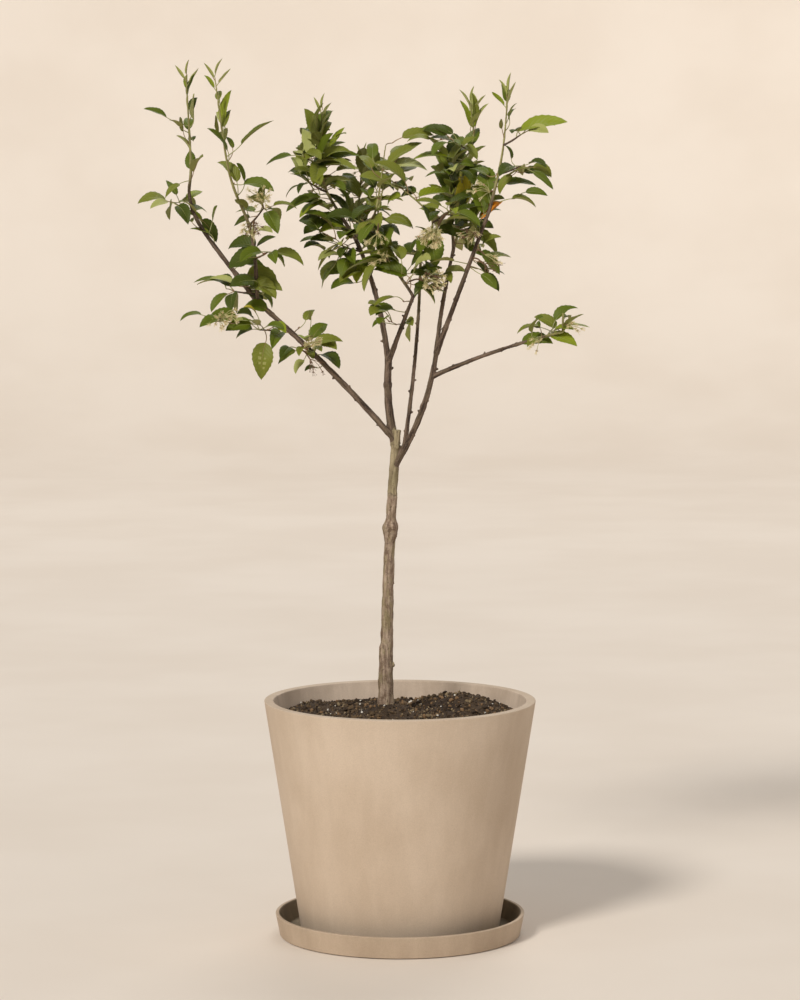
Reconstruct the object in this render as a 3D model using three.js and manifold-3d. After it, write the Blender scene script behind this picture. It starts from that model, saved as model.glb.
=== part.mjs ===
// A young apple tree in a round tapered pot that stands in its saucer.
// Millimetres, +Z up. The origin is on the floor, under the middle of the saucer, and -Y is the front.
// The pot, saucer and soil are turned about Z. The trunk stands a little left of the middle and forks
// into boughs, and each bough ends where it enters the leaves.

import * as THREE from "three";
import { mergeVertices } from "three/addons/utils/BufferGeometryUtils.js";
import Module from "manifold-3d";

const GAP = 0.3; // clearance between pieces that touch

const SAUCER = { footRadius: 173, rimRadius: 184, height: 33, wall: 6.7, floor: 7, edge: 7 };
const POT = { baseRadius: 146, rimRadius: 200, top: 349, wall: 14, floor: 16, edge: 3 };
const SOIL = { level: 322, dish: 6, footing: 14, rings: 8, sides: 36 };
const TURNED_SIDES = 48;

// The ripple in the soil: its height, and its length across and from front to back.
const RIPPLE = { height: 1.2, across: 11, back: 13 };

// Heaps on the soil: where each is, how high it stands above the soil's level, and how far it spreads.
const HEAPS = [
  { x: -20, y: 4, height: 28, spread: 52 },
  { x: 96, y: 86, height: 22, spread: 46 },
  { x: 42, y: 96, height: 12, spread: 40 },
  { x: -120, y: 96, height: 8, spread: 34 },
];

// The trunk: its foot and its fork, how strongly its lean grows towards the fork, its radius at each end,
// a slight root flare, and the swelling where the tree was grafted.
const TRUNK = {
  foot: new THREE.Vector3(-20, 0, 350),
  fork: new THREE.Vector3(-5, 0, 745),
  curl: 2,
  bends: 6,
  footRadius: 10,
  topRadius: 6.5,
  rootFlare: 1.2,
  flareLength: 18,
  graftHeight: 600,
  graftSwell: 3.8,
  graftLength: 12,
  rings: 26,
  sides: 12,
};

// Boughs: each starts on the middle line of the piece that it grows from, a share of the way along it.
// It leans from upright, to the right as seen from the front, runs its length, reaches back, and bows
// off the straight line, to the right of its own way up. The radii are at its start and at its tip.
const BOUGHS = [
  { name: "left_bough", on: "trunk", at: 0.96, lean: -45, length: 285, back: 25, bow: 10, radii: [5, 3.5] },
  {
    name: "centre_left_bough", on: "trunk", at: 0.95,
    lean: -5, length: 120, back: 25, bow: -10, radii: [6.5, 5],
  },
  {
    name: "centre_left_leader", on: "centre_left_bough", at: 0.97,
    lean: -15, length: 185, back: 65, bow: 15, radii: [4.5, 3],
  },
  {
    name: "centre_right_leader", on: "centre_left_bough", at: 0.99,
    lean: 20, length: 105, back: -65, bow: 0, radii: [4, 2.5],
  },
  {
    name: "right_bough", on: "trunk", at: 0.87,
    lean: 20, length: 180, back: -20, bow: 20, radii: [5, 3.5],
  },
  {
    name: "middle_bough", on: "right_bough", at: 0.15,
    lean: 5, length: 290, back: 40, bow: 10, radii: [3.5, 2],
  },
  {
    name: "right_side_bough", on: "right_bough", at: 0.8,
    lean: 70, length: 200, back: -55, bow: -10, radii: [3.5, 2],
  },
  {
    name: "right_back_leader", on: "right_bough", at: 0.99,
    lean: 10, length: 150, back: 80, bow: -5, radii: [3.5, 2.5],
  },
  {
    name: "right_front_leader", on: "right_bough", at: 0.99,
    lean: 20, length: 225, back: -40, bow: 0, radii: [4, 2.5],
  },
];
const BOUGH_RINGS = 9;
const BOUGH_SIDES = 8;

// Masses of leaves: each starts at its foot, leans from upright, to the right as seen from the front,
// runs its length and reaches back. It has a half width across and a half depth from front to back.
// Where it narrows, top is its width at its end as a share of its width at its foot.
const LEAF_MASSES = [
  { name: "left_low_leaves", foot: [-115, -10, 815], lean: -10, length: 125, back: 20, wide: 35, deep: 45 },
  {
    name: "left_hanging_leaves", foot: [-175, -30, 900], lean: -165, length: 90, back: -20,
    wide: 22, deep: 35,
  },
  {
    name: "left_spur_leaves", foot: [-205, -25, 915], lean: -90, length: 100, back: -35,
    wide: 18, deep: 35,
  },
  {
    name: "left_elbow_leaves", foot: [-185, 30, 905], lean: -25, length: 125, back: -10,
    wide: 38, deep: 50,
  },
  { name: "left_level_leaves", foot: [-240, 40, 960], lean: -95, length: 70, back: 30, wide: 10, deep: 18 },
  {
    name: "left_outer_leaves", foot: [-275, 45, 1025], lean: -30, length: 110, back: 15,
    wide: 30, deep: 45,
  },
  {
    name: "left_tip_leaves", foot: [-300, 45, 1120], lean: -5, length: 155, back: -5,
    wide: 34, deep: 45, top: 0.6,
  },
  { name: "left_end_leaf", foot: [-340, 40, 1200], lean: -70, length: 35, back: -10, wide: 10, deep: 15 },
  {
    name: "left_blossom_leaves", foot: [-220, -10, 1010], lean: 15, length: 100, back: -30,
    wide: 34, deep: 42,
  },
  {
    name: "left_second_leaves", foot: [-240, -35, 1110], lean: -10, length: 170, back: -25,
    wide: 34, deep: 45, top: 0.5,
  },
  { name: "left_inner_leaf", foot: [-230, -45, 1160], lean: 55, length: 60, back: 5, wide: 10, deep: 15 },
  { name: "centre_left_leaves", foot: [-75, 60, 950], lean: -20, length: 145, back: 5, wide: 38, deep: 62 },
  {
    name: "centre_crown_leaves", foot: [-105, 80, 1070], lean: -5, length: 155, back: 30,
    wide: 60, deep: 72, top: 0.55,
  },
  { name: "centre_leaves", foot: [-25, -10, 935], lean: -5, length: 155, back: 10, wide: 34, deep: 62 },
  { name: "centre_top_leaves", foot: [-15, 25, 1065], lean: -5, length: 100, back: 20, wide: 42, deep: 74 },
  {
    name: "centre_front_leaves", foot: [-35, -50, 950], lean: 170, length: 55, back: -5,
    wide: 20, deep: 25,
  },
  {
    name: "centre_hanging_leaves", foot: [15, -10, 910], lean: 180, length: 45, back: -5,
    wide: 13, deep: 14,
  },
  { name: "centre_back_leaves", foot: [-50, 145, 985], lean: 0, length: 180, back: 30, wide: 48, deep: 52 },
  { name: "right_inner_leaves", foot: [45, -35, 935], lean: 0, length: 150, back: 20, wide: 34, deep: 62 },
  {
    name: "right_crown_leaves", foot: [75, 30, 1065], lean: 0, length: 125, back: 10,
    wide: 40, deep: 65, top: 0.8,
  },
  {
    name: "right_reaching_leaves", foot: [75, 25, 1190], lean: -110, length: 65, back: -15,
    wide: 16, deep: 25,
  },
  { name: "right_back_leaves", foot: [85, 120, 995], lean: 5, length: 155, back: 10, wide: 40, deep: 48 },
  { name: "right_leaves", foot: [95, 15, 985], lean: 10, length: 150, back: -40, wide: 38, deep: 62 },
  {
    name: "right_upright_leaves", foot: [110, 40, 1140], lean: -5, length: 100, back: 20,
    wide: 26, deep: 34,
  },
  { name: "right_tip_leaves", foot: [145, -50, 1120], lean: 5, length: 135, back: 0, wide: 17, deep: 25 },
  { name: "right_far_leaf", foot: [170, -55, 1180], lean: 80, length: 70, back: -20, wide: 12, deep: 18 },
  {
    name: "right_outer_leaves", foot: [150, -55, 1100], lean: 90, length: 70, back: -5,
    wide: 30, deep: 35,
  },
  { name: "right_low_leaves", foot: [125, -40, 945], lean: 10, length: 95, back: -10, wide: 17, deep: 25 },
  {
    name: "right_side_leaves", foot: [175, -60, 870], lean: 65, length: 100, back: -15,
    wide: 32, deep: 44,
  },
];
const MASS_RINGS = 7;
const MASS_SIDES = 8;
const MASS_END = 0.42; // an end ring's size as a share of the middle's
const MASS_FULLNESS = 0.8; // below 1, a mass keeps its width further towards its ends

// The unevenness of a mass: how deep each wave is, how often it goes round and along the mass, and how
// far it is shifted from one mass to the next.
const LEAF_WAVES = [
  { depth: 0.16, round: 2, along: 11, shift: 2.3 },
  { depth: 0.12, round: 3, along: -7, shift: 4.1 },
  { depth: 0.1, round: 0, along: 17, shift: 1.7 },
];

const FRONT_TO_BACK = new THREE.Vector3(0, 1, 0);

const finishes = {
  clay: new THREE.MeshStandardMaterial({ color: 0xc2ab90, roughness: 0.85, metalness: 0 }),
  soil: new THREE.MeshStandardMaterial({ color: 0x3b2f26, roughness: 1, metalness: 0 }),
  bark: new THREE.MeshStandardMaterial({ color: 0x6e6252, roughness: 0.9, metalness: 0 }),
  leaf: new THREE.MeshStandardMaterial({ color: 0x5f7038, roughness: 0.6, metalness: 0 }),
};

const wasm = await Module();
wasm.setup();

function solidFrom(geometry) {
  const bare = geometry.index ? geometry.toNonIndexed() : geometry.clone();
  bare.deleteAttribute("normal");
  bare.deleteAttribute("uv");
  const merged = mergeVertices(bare, 1e-3);
  return new wasm.Manifold(
    new wasm.Mesh({
      numProp: 3,
      vertProperties: merged.attributes.position.array,
      triVerts: new Uint32Array(merged.index.array),
    }),
  );
}

function geometryFrom(solid) {
  const mesh = solid.getMesh();
  const places = new Float32Array(mesh.numVert * 3);
  for (let i = 0; i < mesh.numVert; i++) {
    const start = i * mesh.numProp;
    places.set(mesh.vertProperties.subarray(start, start + 3), i * 3);
  }
  const geometry = new THREE.BufferGeometry();
  geometry.setAttribute("position", new THREE.BufferAttribute(places, 3));
  geometry.setIndex(new THREE.BufferAttribute(new Uint32Array(mesh.triVerts), 1));
  geometry.computeVertexNormals();
  return geometry;
}

// A closed body round a curve: rings across it, with a fan over each end.
// size(along, turn, middle) gives a ring's two half sizes, across the curve and from front to back.
function bodyAlong(curve, size, rings, sides) {
  const corners = [];
  const faces = [];
  for (let ring = 0; ring <= rings; ring++) {
    const along = ring / rings;
    const middle = curve.getPointAt(along);
    const forward = curve.getTangentAt(along);
    const across = new THREE.Vector3().crossVectors(FRONT_TO_BACK, forward).normalize();
    const back = new THREE.Vector3().crossVectors(forward, across);
    for (let side = 0; side < sides; side++) {
      const turn = (2 * Math.PI * side) / sides;
      const [wide, deep] = size(along, turn, middle);
      const corner = middle.clone();
      corner.addScaledVector(across, wide * Math.cos(turn));
      corner.addScaledVector(back, deep * Math.sin(turn));
      corners.push(corner);
    }
  }
  for (let ring = 0; ring < rings; ring++) {
    for (let side = 0; side < sides; side++) {
      const next = (side + 1) % sides;
      const low = ring * sides;
      const high = low + sides;
      faces.push(low + side, low + next, high + side);
      faces.push(low + next, high + next, high + side);
    }
  }
  const last = rings * sides;
  corners.push(curve.getPoint(0), curve.getPoint(1));
  for (let side = 0; side < sides; side++) {
    const next = (side + 1) % sides;
    faces.push(corners.length - 2, next, side);
    faces.push(corners.length - 1, last + side, last + next);
  }
  const geometry = new THREE.BufferGeometry().setFromPoints(corners);
  geometry.setIndex(faces);
  return geometry;
}

function turned(profile) {
  const points = profile.map(([radius, height]) => new THREE.Vector2(radius, height));
  const geometry = new THREE.LatheGeometry(points, TURNED_SIDES);
  geometry.rotateX(Math.PI / 2);
  return geometry;
}

// A shallow tray with a flat underside: its wall leans out from the foot to a level rim.
function saucerGeometry() {
  const { footRadius, rimRadius, height, wall, floor, edge } = SAUCER;
  const innerFoot = footRadius - wall + (rimRadius - footRadius) * (floor / height);
  return turned([
    [0, 0],
    [footRadius - edge, 0],
    [footRadius, edge],
    [rimRadius, height - edge / 2],
    [rimRadius - edge / 2, height],
    [rimRadius - wall, height],
    [innerFoot, floor + edge],
    [innerFoot - edge, floor],
    [0, floor],
  ]);
}

const potFoot = SAUCER.floor + GAP;
const potLean = (POT.rimRadius - POT.baseRadius) / (POT.top - potFoot);

function potOuterRadius(height) {
  return POT.baseRadius + potLean * (height - potFoot);
}

function potInnerRadius(height) {
  return potOuterRadius(height) - POT.wall;
}

function potGeometry() {
  const { baseRadius, rimRadius, top, wall, floor, edge } = POT;
  const floorTop = potFoot + floor;
  return turned([
    [0, potFoot],
    [baseRadius - edge, potFoot],
    [potOuterRadius(potFoot + edge), potFoot + edge],
    [potOuterRadius(top - edge), top - edge],
    [rimRadius - edge, top],
    [rimRadius - wall + edge, top],
    [potInnerRadius(top - edge), top - edge],
    [potInnerRadius(floorTop), floorTop],
    [0, floorTop],
  ]);
}

// The soil's reach at a height, clear of the flats between the turned pot's edges.
function soilRadius(height) {
  return potInnerRadius(height) * Math.cos(Math.PI / TURNED_SIDES) - GAP;
}

function soilHeight(x, y) {
  const reach = Math.hypot(x, y) / soilRadius(SOIL.level);
  let height = SOIL.level - SOIL.dish * (1 - reach * reach);
  for (const heap of HEAPS) {
    const away = Math.hypot(x - heap.x, y - heap.y) / heap.spread;
    height += heap.height * Math.exp(-away * away);
  }
  return height + RIPPLE.height * Math.sin(x / RIPPLE.across) * Math.cos(y / RIPPLE.back);
}

// The soil fills the pot. Its rings spread from the trunk's footing out to the pot's wall.
function soilGeometry() {
  const { rings, sides, footing } = SOIL;
  const { foot } = TRUNK;
  const flat = foot.z - GAP;
  const bottom = potFoot + POT.floor + GAP;
  const corners = [new THREE.Vector3(foot.x, foot.y, flat)];
  const faces = [];
  for (let ring = 0; ring <= rings + 1; ring++) {
    const share = ring / rings;
    for (let side = 0; side < sides; side++) {
      const turn = (2 * Math.PI * side) / sides;
      const outward = new THREE.Vector3(Math.cos(turn), Math.sin(turn), 0);
      const inner = new THREE.Vector3(foot.x, foot.y, 0).addScaledVector(outward, footing);
      if (ring > rings) {
        corners.push(outward.clone().multiplyScalar(soilRadius(bottom)).setZ(bottom));
        continue;
      }
      const nearWall = outward.clone().multiplyScalar(soilRadius(SOIL.level));
      const wallHeight = soilHeight(nearWall.x, nearWall.y);
      const atWall = outward.clone().multiplyScalar(soilRadius(wallHeight));
      const corner = inner.lerp(atWall, Math.min(share, 1));
      const height = ring === 0 ? flat : Math.min(soilHeight(corner.x, corner.y), flat);
      corners.push(corner.setZ(ring === rings ? wallHeight : height));
    }
  }
  for (let side = 0; side < sides; side++) {
    const next = (side + 1) % sides;
    faces.push(0, 1 + side, 1 + next);
    for (let ring = 0; ring <= rings; ring++) {
      const near = 1 + ring * sides;
      const far = near + sides;
      faces.push(near + side, far + side, far + next);
      faces.push(near + side, far + next, near + next);
    }
  }
  const lowest = 1 + (rings + 1) * sides;
  corners.push(new THREE.Vector3(0, 0, bottom));
  for (let side = 0; side < sides; side++) {
    faces.push(corners.length - 1, lowest + ((side + 1) % sides), lowest + side);
  }
  const geometry = new THREE.BufferGeometry().setFromPoints(corners);
  geometry.setIndex(faces);
  return geometry;
}

// The trunk starts upright and leans more and more towards its fork.
function trunkPlaces() {
  const { foot, fork, bends, curl } = TRUNK;
  return Array.from({ length: bends + 1 }, (_, bend) => {
    const share = bend / bends;
    const place = foot.clone().lerp(fork, share);
    place.x = THREE.MathUtils.lerp(foot.x, fork.x, share ** curl);
    return place;
  });
}

const trunkLine = new THREE.CatmullRomCurve3(trunkPlaces());
trunkLine.getTangentAt = () => new THREE.Vector3(0, 0, 1); // level rings, so the foot is a flat cut

// The trunk's radius at a height: a taper, a root flare at the soil and the swelling of the graft.
function trunkRadius(height) {
  const { foot, fork, footRadius, topRadius, rootFlare, flareLength } = TRUNK;
  const taper = THREE.MathUtils.mapLinear(height, foot.z, fork.z, footRadius, topRadius);
  const flare = rootFlare * Math.exp((foot.z - height) / flareLength);
  const fromGraft = (height - TRUNK.graftHeight) / TRUNK.graftLength;
  return taper + flare + TRUNK.graftSwell * Math.exp(-fromGraft * fromGraft);
}

function trunkGeometry(extra = 0) {
  const size = (along, turn, middle) => {
    const radius = trunkRadius(middle.z) + extra;
    return [radius, radius];
  };
  return bodyAlong(trunkLine, size, TRUNK.rings, TRUNK.sides);
}

// The way that a limb or a mass runs: its length at its lean from upright, and how far it reaches back.
function reachOf({ lean, length, back }) {
  const turn = THREE.MathUtils.degToRad(lean);
  return new THREE.Vector3(Math.sin(turn) * length, back, Math.cos(turn) * length);
}

function boughLine(bough, lines) {
  const turn = THREE.MathUtils.degToRad(bough.lean);
  const start = lines.get(bough.on).getPointAt(bough.at);
  const tip = start.clone().add(reachOf(bough));
  const sideways = new THREE.Vector3(Math.cos(turn), 0, -Math.sin(turn));
  const bend = start.clone().lerp(tip, 0.5).addScaledVector(sideways, bough.bow);
  return new THREE.QuadraticBezierCurve3(start, bend, tip);
}

function boughGeometry(bough, line, extra = 0) {
  const size = (along) => {
    const radius = THREE.MathUtils.lerp(bough.radii[0], bough.radii[1], along) + extra;
    return [radius, radius];
  };
  return bodyAlong(line, size, BOUGH_RINGS, BOUGH_SIDES);
}

// An uneven skin of leaves: slow waves along and round the mass, shifted by the mass's own number.
function leafSkin(along, turn, number) {
  let skin = 1;
  for (const wave of LEAF_WAVES) {
    skin += wave.depth * Math.sin(wave.round * turn + wave.along * along + wave.shift * number);
  }
  return skin;
}

function leafMassGeometry(mass, number, extra = 0) {
  const foot = new THREE.Vector3(...mass.foot);
  const line = new THREE.LineCurve3(foot, foot.clone().add(reachOf(mass)));
  const size = (along, turn) => {
    const bulge = MASS_END + (1 - MASS_END) * Math.sin(Math.PI * along) ** MASS_FULLNESS;
    const skin = bulge * leafSkin(along, turn, number) * THREE.MathUtils.lerp(1, mass.top ?? 1, along);
    return [mass.wide * skin + extra, mass.deep * skin + extra];
  };
  return bodyAlong(line, size, MASS_RINGS, MASS_SIDES);
}

// The piece of a cut solid that holds its start, or its largest piece where no start is given.
function pieceKept(solid, start) {
  const pieces = solid.decompose();
  const score = (piece) => {
    if (!start) return piece.volume();
    const { min, max } = piece.boundingBox();
    return -Math.hypot(...start.toArray().map((s, i) => s - (min[i] + max[i]) / 2));
  };
  return pieces.sort((a, b) => score(b) - score(a))[0];
}

function named(name, geometry, material) {
  const mesh = new THREE.Mesh(geometry, material);
  mesh.name = name;
  return mesh;
}

const tree = new THREE.Group();
const vessel = new THREE.Group();
const wood = new THREE.Group();
const crown = new THREE.Group();
tree.add(vessel, wood, crown);

vessel.add(named("saucer", saucerGeometry(), finishes.clay));
vessel.add(named("pot", potGeometry(), finishes.clay));
vessel.add(named("soil", soilGeometry(), finishes.soil));

wood.add(named("trunk", trunkGeometry(), finishes.bark));

// Each mass is cut clear of the ones made before it.
let leavesSoFar;
LEAF_MASSES.forEach((mass, number) => {
  const whole = solidFrom(leafMassGeometry(mass, number));
  const clear = leavesSoFar ? pieceKept(whole.subtract(leavesSoFar)) : whole;
  const grown = solidFrom(leafMassGeometry(mass, number, GAP));
  leavesSoFar = leavesSoFar ? leavesSoFar.add(grown) : grown;
  crown.add(named(mass.name, geometryFrom(clear), finishes.leaf));
});

// Each bough is cut clear of the wood made before it, and ends where it enters the leaves.
const lines = new Map([["trunk", trunkLine]]);
let woodSoFar = solidFrom(trunkGeometry(GAP));
for (const bough of BOUGHS) {
  const line = boughLine(bough, lines);
  lines.set(bough.name, line);
  const whole = solidFrom(boughGeometry(bough, line));
  const outside = whole.subtract(woodSoFar).subtract(leavesSoFar);
  wood.add(named(bough.name, geometryFrom(pieceKept(outside, line.getPoint(0))), finishes.bark));
  woodSoFar = woodSoFar.add(solidFrom(boughGeometry(bough, line, GAP)));
}

export default tree;
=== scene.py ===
import math
import random

import bmesh
import bpy
import numpy as np
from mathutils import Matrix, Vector, kdtree, noise
from mathutils.bvhtree import BVHTree


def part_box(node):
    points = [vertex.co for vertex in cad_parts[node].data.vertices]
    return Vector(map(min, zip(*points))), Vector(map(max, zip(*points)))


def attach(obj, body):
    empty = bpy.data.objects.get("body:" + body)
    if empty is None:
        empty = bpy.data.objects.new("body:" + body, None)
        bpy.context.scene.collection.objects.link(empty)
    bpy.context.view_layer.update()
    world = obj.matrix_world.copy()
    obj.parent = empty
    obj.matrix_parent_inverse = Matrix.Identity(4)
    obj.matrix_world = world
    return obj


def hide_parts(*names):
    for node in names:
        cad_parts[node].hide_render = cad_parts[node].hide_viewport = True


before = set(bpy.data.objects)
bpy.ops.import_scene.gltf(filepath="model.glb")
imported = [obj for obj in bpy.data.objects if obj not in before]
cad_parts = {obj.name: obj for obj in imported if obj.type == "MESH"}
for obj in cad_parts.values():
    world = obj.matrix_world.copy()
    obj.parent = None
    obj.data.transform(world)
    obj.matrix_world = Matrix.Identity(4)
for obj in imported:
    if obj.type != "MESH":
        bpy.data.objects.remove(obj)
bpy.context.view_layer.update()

MM = 0.001

# The camera stands level with the crown, more than five metres in front, and looks a little down
# through a long lens, so that the pot's far rim shows above its near one.
CAMERA_PLACE = (0.0, -5.383, 1.181)
CAMERA_TILT = math.radians(84.3)
bpy.ops.object.camera_add(location=CAMERA_PLACE, rotation=(CAMERA_TILT, 0.0, 0.0))
camera = bpy.context.object
camera.data.lens = 133.2
camera.data.sensor_width = 36.0
camera.data.clip_end = 60.0
bpy.context.scene.camera = camera


# The saucer: a shallow dish of the same sandy composite as the pot, turned with a rounded foot and a
# narrow lip. It lies flat on the floor and carries everything.
TURNED_SIDES = 192
SAUCER_FOOT_RADIUS = 173 * MM
SAUCER_WALL = 6.7 * MM
SAUCER_FLOOR = 7 * MM
SAUCER_LIP = 1.6 * MM
EASING_STEPS = 4
SHARP_EDGE = math.radians(40)
SMOOTH_EDGE = math.radians(35)


def start_piece():
    """Nothing stays selected, so that the next operator acts on the new piece alone."""
    if bpy.context.object and bpy.context.object.mode != "OBJECT":
        bpy.ops.object.mode_set(mode="OBJECT")
    bpy.ops.object.select_all(action="DESELECT")


def pick(kind, test):
    """In edit mode, selects only the faces or edges that pass the test."""
    bpy.ops.mesh.select_mode(type="FACE" if kind == "faces" else "EDGE")
    bpy.ops.mesh.select_all(action="DESELECT")
    shape = bmesh.from_edit_mesh(bpy.context.object.data)
    for part in getattr(shape, kind):
        part.select_set(test(part))
    bmesh.update_edit_mesh(bpy.context.object.data)


def apply_modifier(kind, **settings):
    """Adds a modifier to the active piece, sets it and applies it."""
    bpy.ops.object.modifier_add(type=kind)
    modifier = bpy.context.object.modifiers[-1]
    for name, value in settings.items():
        setattr(modifier, name, value)
    bpy.ops.object.modifier_apply(modifier=modifier.name)


def turned_vessel(name, node, foot_radius, wall, floor, lip):
    """A tapering drum as tall as its CAD node, hollowed from above, with its edges eased."""
    low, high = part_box(node)
    height = high.z - low.z
    lean = (high.x - foot_radius) / height
    inner_rim = high.x - wall
    inner_foot = foot_radius - wall + lean * floor
    start_piece()
    bpy.ops.mesh.primitive_cylinder_add(
        vertices=TURNED_SIDES, radius=high.x, depth=height, location=(0, 0, (low.z + high.z) / 2)
    )
    vessel = bpy.context.object
    vessel.name = name
    bpy.ops.object.transform_apply(location=True, rotation=True, scale=True)
    bpy.ops.object.mode_set(mode="EDIT")
    pick("faces", lambda face: face.normal.z < -0.9)
    bpy.ops.transform.resize(value=(foot_radius / high.x, foot_radius / high.x, 1))
    pick("faces", lambda face: face.normal.z > 0.9)
    bpy.ops.mesh.inset(thickness=wall)
    bpy.ops.mesh.extrude_region_move(TRANSFORM_OT_translate={"value": (0, 0, floor - height)})
    bpy.ops.transform.resize(value=(inner_foot / inner_rim, inner_foot / inner_rim, 1))
    bpy.ops.object.mode_set(mode="OBJECT")
    apply_modifier("BEVEL", width=lip, segments=EASING_STEPS, limit_method="ANGLE", angle_limit=SHARP_EDGE)
    return vessel


def add_node(tree, kind, inputs=None, **settings):
    """A shader node with its settings, whose inputs are set to values or joined to sockets."""
    made = tree.nodes.new("ShaderNode" + kind)
    for name, value in settings.items():
        setattr(made, name, value)
    for name, value in (inputs or {}).items():
        if isinstance(value, bpy.types.NodeSocket):
            tree.links.new(value, made.inputs[name])
        else:
            made.inputs[name].default_value = value
    return made


def noise_in(tree, place, scale, detail=4.0, rough=0.55):
    """Cloudy noise from 0 to 1 over the place socket."""
    inputs = {"Vector": place, "Scale": scale, "Detail": detail, "Roughness": rough}
    return add_node(tree, "TexNoise", inputs).outputs["Fac"]


def spread(tree, value, low, high, to_low=0.0, to_high=1.0):
    """The value's range from low to high, spread from to_low to to_high and held there."""
    inputs = {"Value": value, "From Min": low, "From Max": high, "To Min": to_low, "To Max": to_high}
    return add_node(tree, "MapRange", inputs, interpolation_type="SMOOTHSTEP").outputs["Result"]


def blend_colours(tree, share, first, second, way="MIX"):
    """The first colour, going over to the second as the share goes to 1."""
    made = add_node(tree, "Mix", {0: share, 6: first, 7: second}, data_type="RGBA", blend_type=way)
    return made.outputs[2]


def combine(tree, way, first, second):
    """Arithmetic on two values."""
    return add_node(tree, "Math", {0: first, 1: second}, operation=way).outputs["Value"]


def scaled(tree, value, amount):
    """The value times an amount."""
    return combine(tree, "MULTIPLY", value, amount)


def shaded(tree, colour, shade):
    """The colour, made darker or paler by a shade socket."""
    grey = add_node(tree, "CombineColor", {"Red": shade, "Green": shade, "Blue": shade}).outputs["Color"]
    return blend_colours(tree, 1.0, colour, grey, "MULTIPLY")


def squeezed(tree, place, scale):
    """The place socket, stretched or squeezed along its axes."""
    return add_node(tree, "Mapping", {"Vector": place, "Scale": scale}).outputs["Vector"]


def object_place(tree):
    return add_node(tree, "TexCoord").outputs["Object"]


def paint(red, green, blue):
    """A screen colour, 0 to 255, as the linear colour that sockets take."""
    shares = [channel / 255 for channel in (red, green, blue)]
    linear = [s / 12.92 if s <= 0.04045 else ((s + 0.055) / 1.055) ** 2.4 for s in shares]
    return (*linear, 1.0)


def new_material(name, roughness=0.8):
    """A material with its node tree and its Principled shader."""
    material = bpy.data.materials.new(name)
    material.use_nodes = True
    shader = material.node_tree.nodes["Principled BSDF"]
    shader.inputs["Roughness"].default_value = roughness
    return material, material.node_tree, shader


def add_bump(tree, shader, height, depth, strength):
    """Relief on the shader, depth high where the height socket is 1."""
    bump = add_node(tree, "Bump", {"Height": height, "Distance": depth, "Strength": strength})
    tree.links.new(bump.outputs["Normal"], shader.inputs["Normal"])


def add_group(tree, group, inputs):
    """A shared effect, with its inputs set to values or joined to sockets."""
    return add_node(tree, "Group", inputs, node_tree=group).outputs


def new_group(name, given, made):
    """An empty shader node group with named inputs and outputs."""
    tree = bpy.data.node_groups.new(name, "ShaderNodeTree")
    for socket, kind in given:
        tree.interface.new_socket(socket, in_out="INPUT", socket_type="NodeSocket" + kind)
    for socket, kind in made:
        tree.interface.new_socket(socket, in_out="OUTPUT", socket_type="NodeSocket" + kind)
    return tree, tree.nodes.new("NodeGroupInput").outputs, tree.nodes.new("NodeGroupOutput").inputs


# Sandy composite clay: cloudy patches, faint upright smears and a fine sandy grain with open pores.
clay_group, given, made = new_group(
    "sandy_clay",
    [("Place", "Vector"), ("Pale", "Color"), ("Deep", "Color")],
    [("Colour", "Color"), ("Roughness", "Float"), ("Height", "Float")],
)
cloud = spread(clay_group, noise_in(clay_group, given["Place"], 6.5, 5.0), 0.34, 0.68)
upright = squeezed(clay_group, given["Place"], (1.0, 1.0, 0.22))
smear = spread(clay_group, noise_in(clay_group, upright, 34.0, 5.0, 0.6), 0.36, 0.7)
grain = noise_in(clay_group, given["Place"], 620.0, 3.0, 0.65)
pores = spread(clay_group, noise_in(clay_group, given["Place"], 420.0, 1.0), 0.22, 0.32)
patches = combine(clay_group, "ADD", scaled(clay_group, cloud, 0.6),
                  scaled(clay_group, smear, 0.4))
body_colour = blend_colours(clay_group, patches, given["Deep"], given["Pale"])
fleck = spread(clay_group, grain, 0.3, 0.75, 0.94, 1.05)
flecked = shaded(clay_group, body_colour, fleck)
pore_shade = spread(clay_group, pores, 0.0, 1.0, 0.9, 1.0)
clay_group.links.new(shaded(clay_group, flecked, pore_shade), made["Colour"])
clay_group.links.new(spread(clay_group, cloud, 0.0, 1.0, 0.92, 0.74), made["Roughness"])
relief = combine(clay_group, "ADD", scaled(clay_group, grain, 0.5),
                 scaled(clay_group, pores, 0.5))
clay_group.links.new(relief, made["Height"])


def clay_material(name, pale, deep, relief_depth):
    """Sandy clay between two colours, with its grain standing relief_depth high."""
    material, tree, shader = new_material(name)
    clay = add_group(tree, clay_group, {"Place": object_place(tree), "Pale": pale, "Deep": deep})
    tree.links.new(clay["Colour"], shader.inputs["Base Color"])
    tree.links.new(clay["Roughness"], shader.inputs["Roughness"])
    add_bump(tree, shader, clay["Height"], relief_depth, 0.6)
    shader.inputs["Specular IOR Level"].default_value = 0.3
    return material


clay_outside = clay_material("clay outside", paint(206, 188, 168), paint(192, 173, 152), 0.2 * MM)
clay_saucer = clay_material("clay saucer", paint(194, 175, 154), paint(174, 155, 134), 0.2 * MM)
clay_inside = clay_material("clay inside", paint(216, 198, 180), paint(178, 160, 142), 0.4 * MM)
# A much darker copy of the clay, for the saucer's inner wall and floor.
clay_dark_inside = clay_material("clay dark inside", paint(128, 114, 92), paint(92, 80, 60), 0.4 * MM)


def line_inside(vessel, outside_material, inside_material):
    """The faces that look towards the axis, and the floor inside, take the inside material."""
    vessel.data.materials.append(outside_material)
    vessel.data.materials.append(inside_material)
    top = max(vertex.co.z for vertex in vessel.data.vertices)
    for face in vessel.data.polygons:
        towards_axis = face.normal.x * face.center.x + face.normal.y * face.center.y < -1e-5
        looks_up = face.normal.z > 0.9 and face.center.z < top - 2 * SAUCER_LIP
        face.material_index = int(towards_axis or looks_up)


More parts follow.
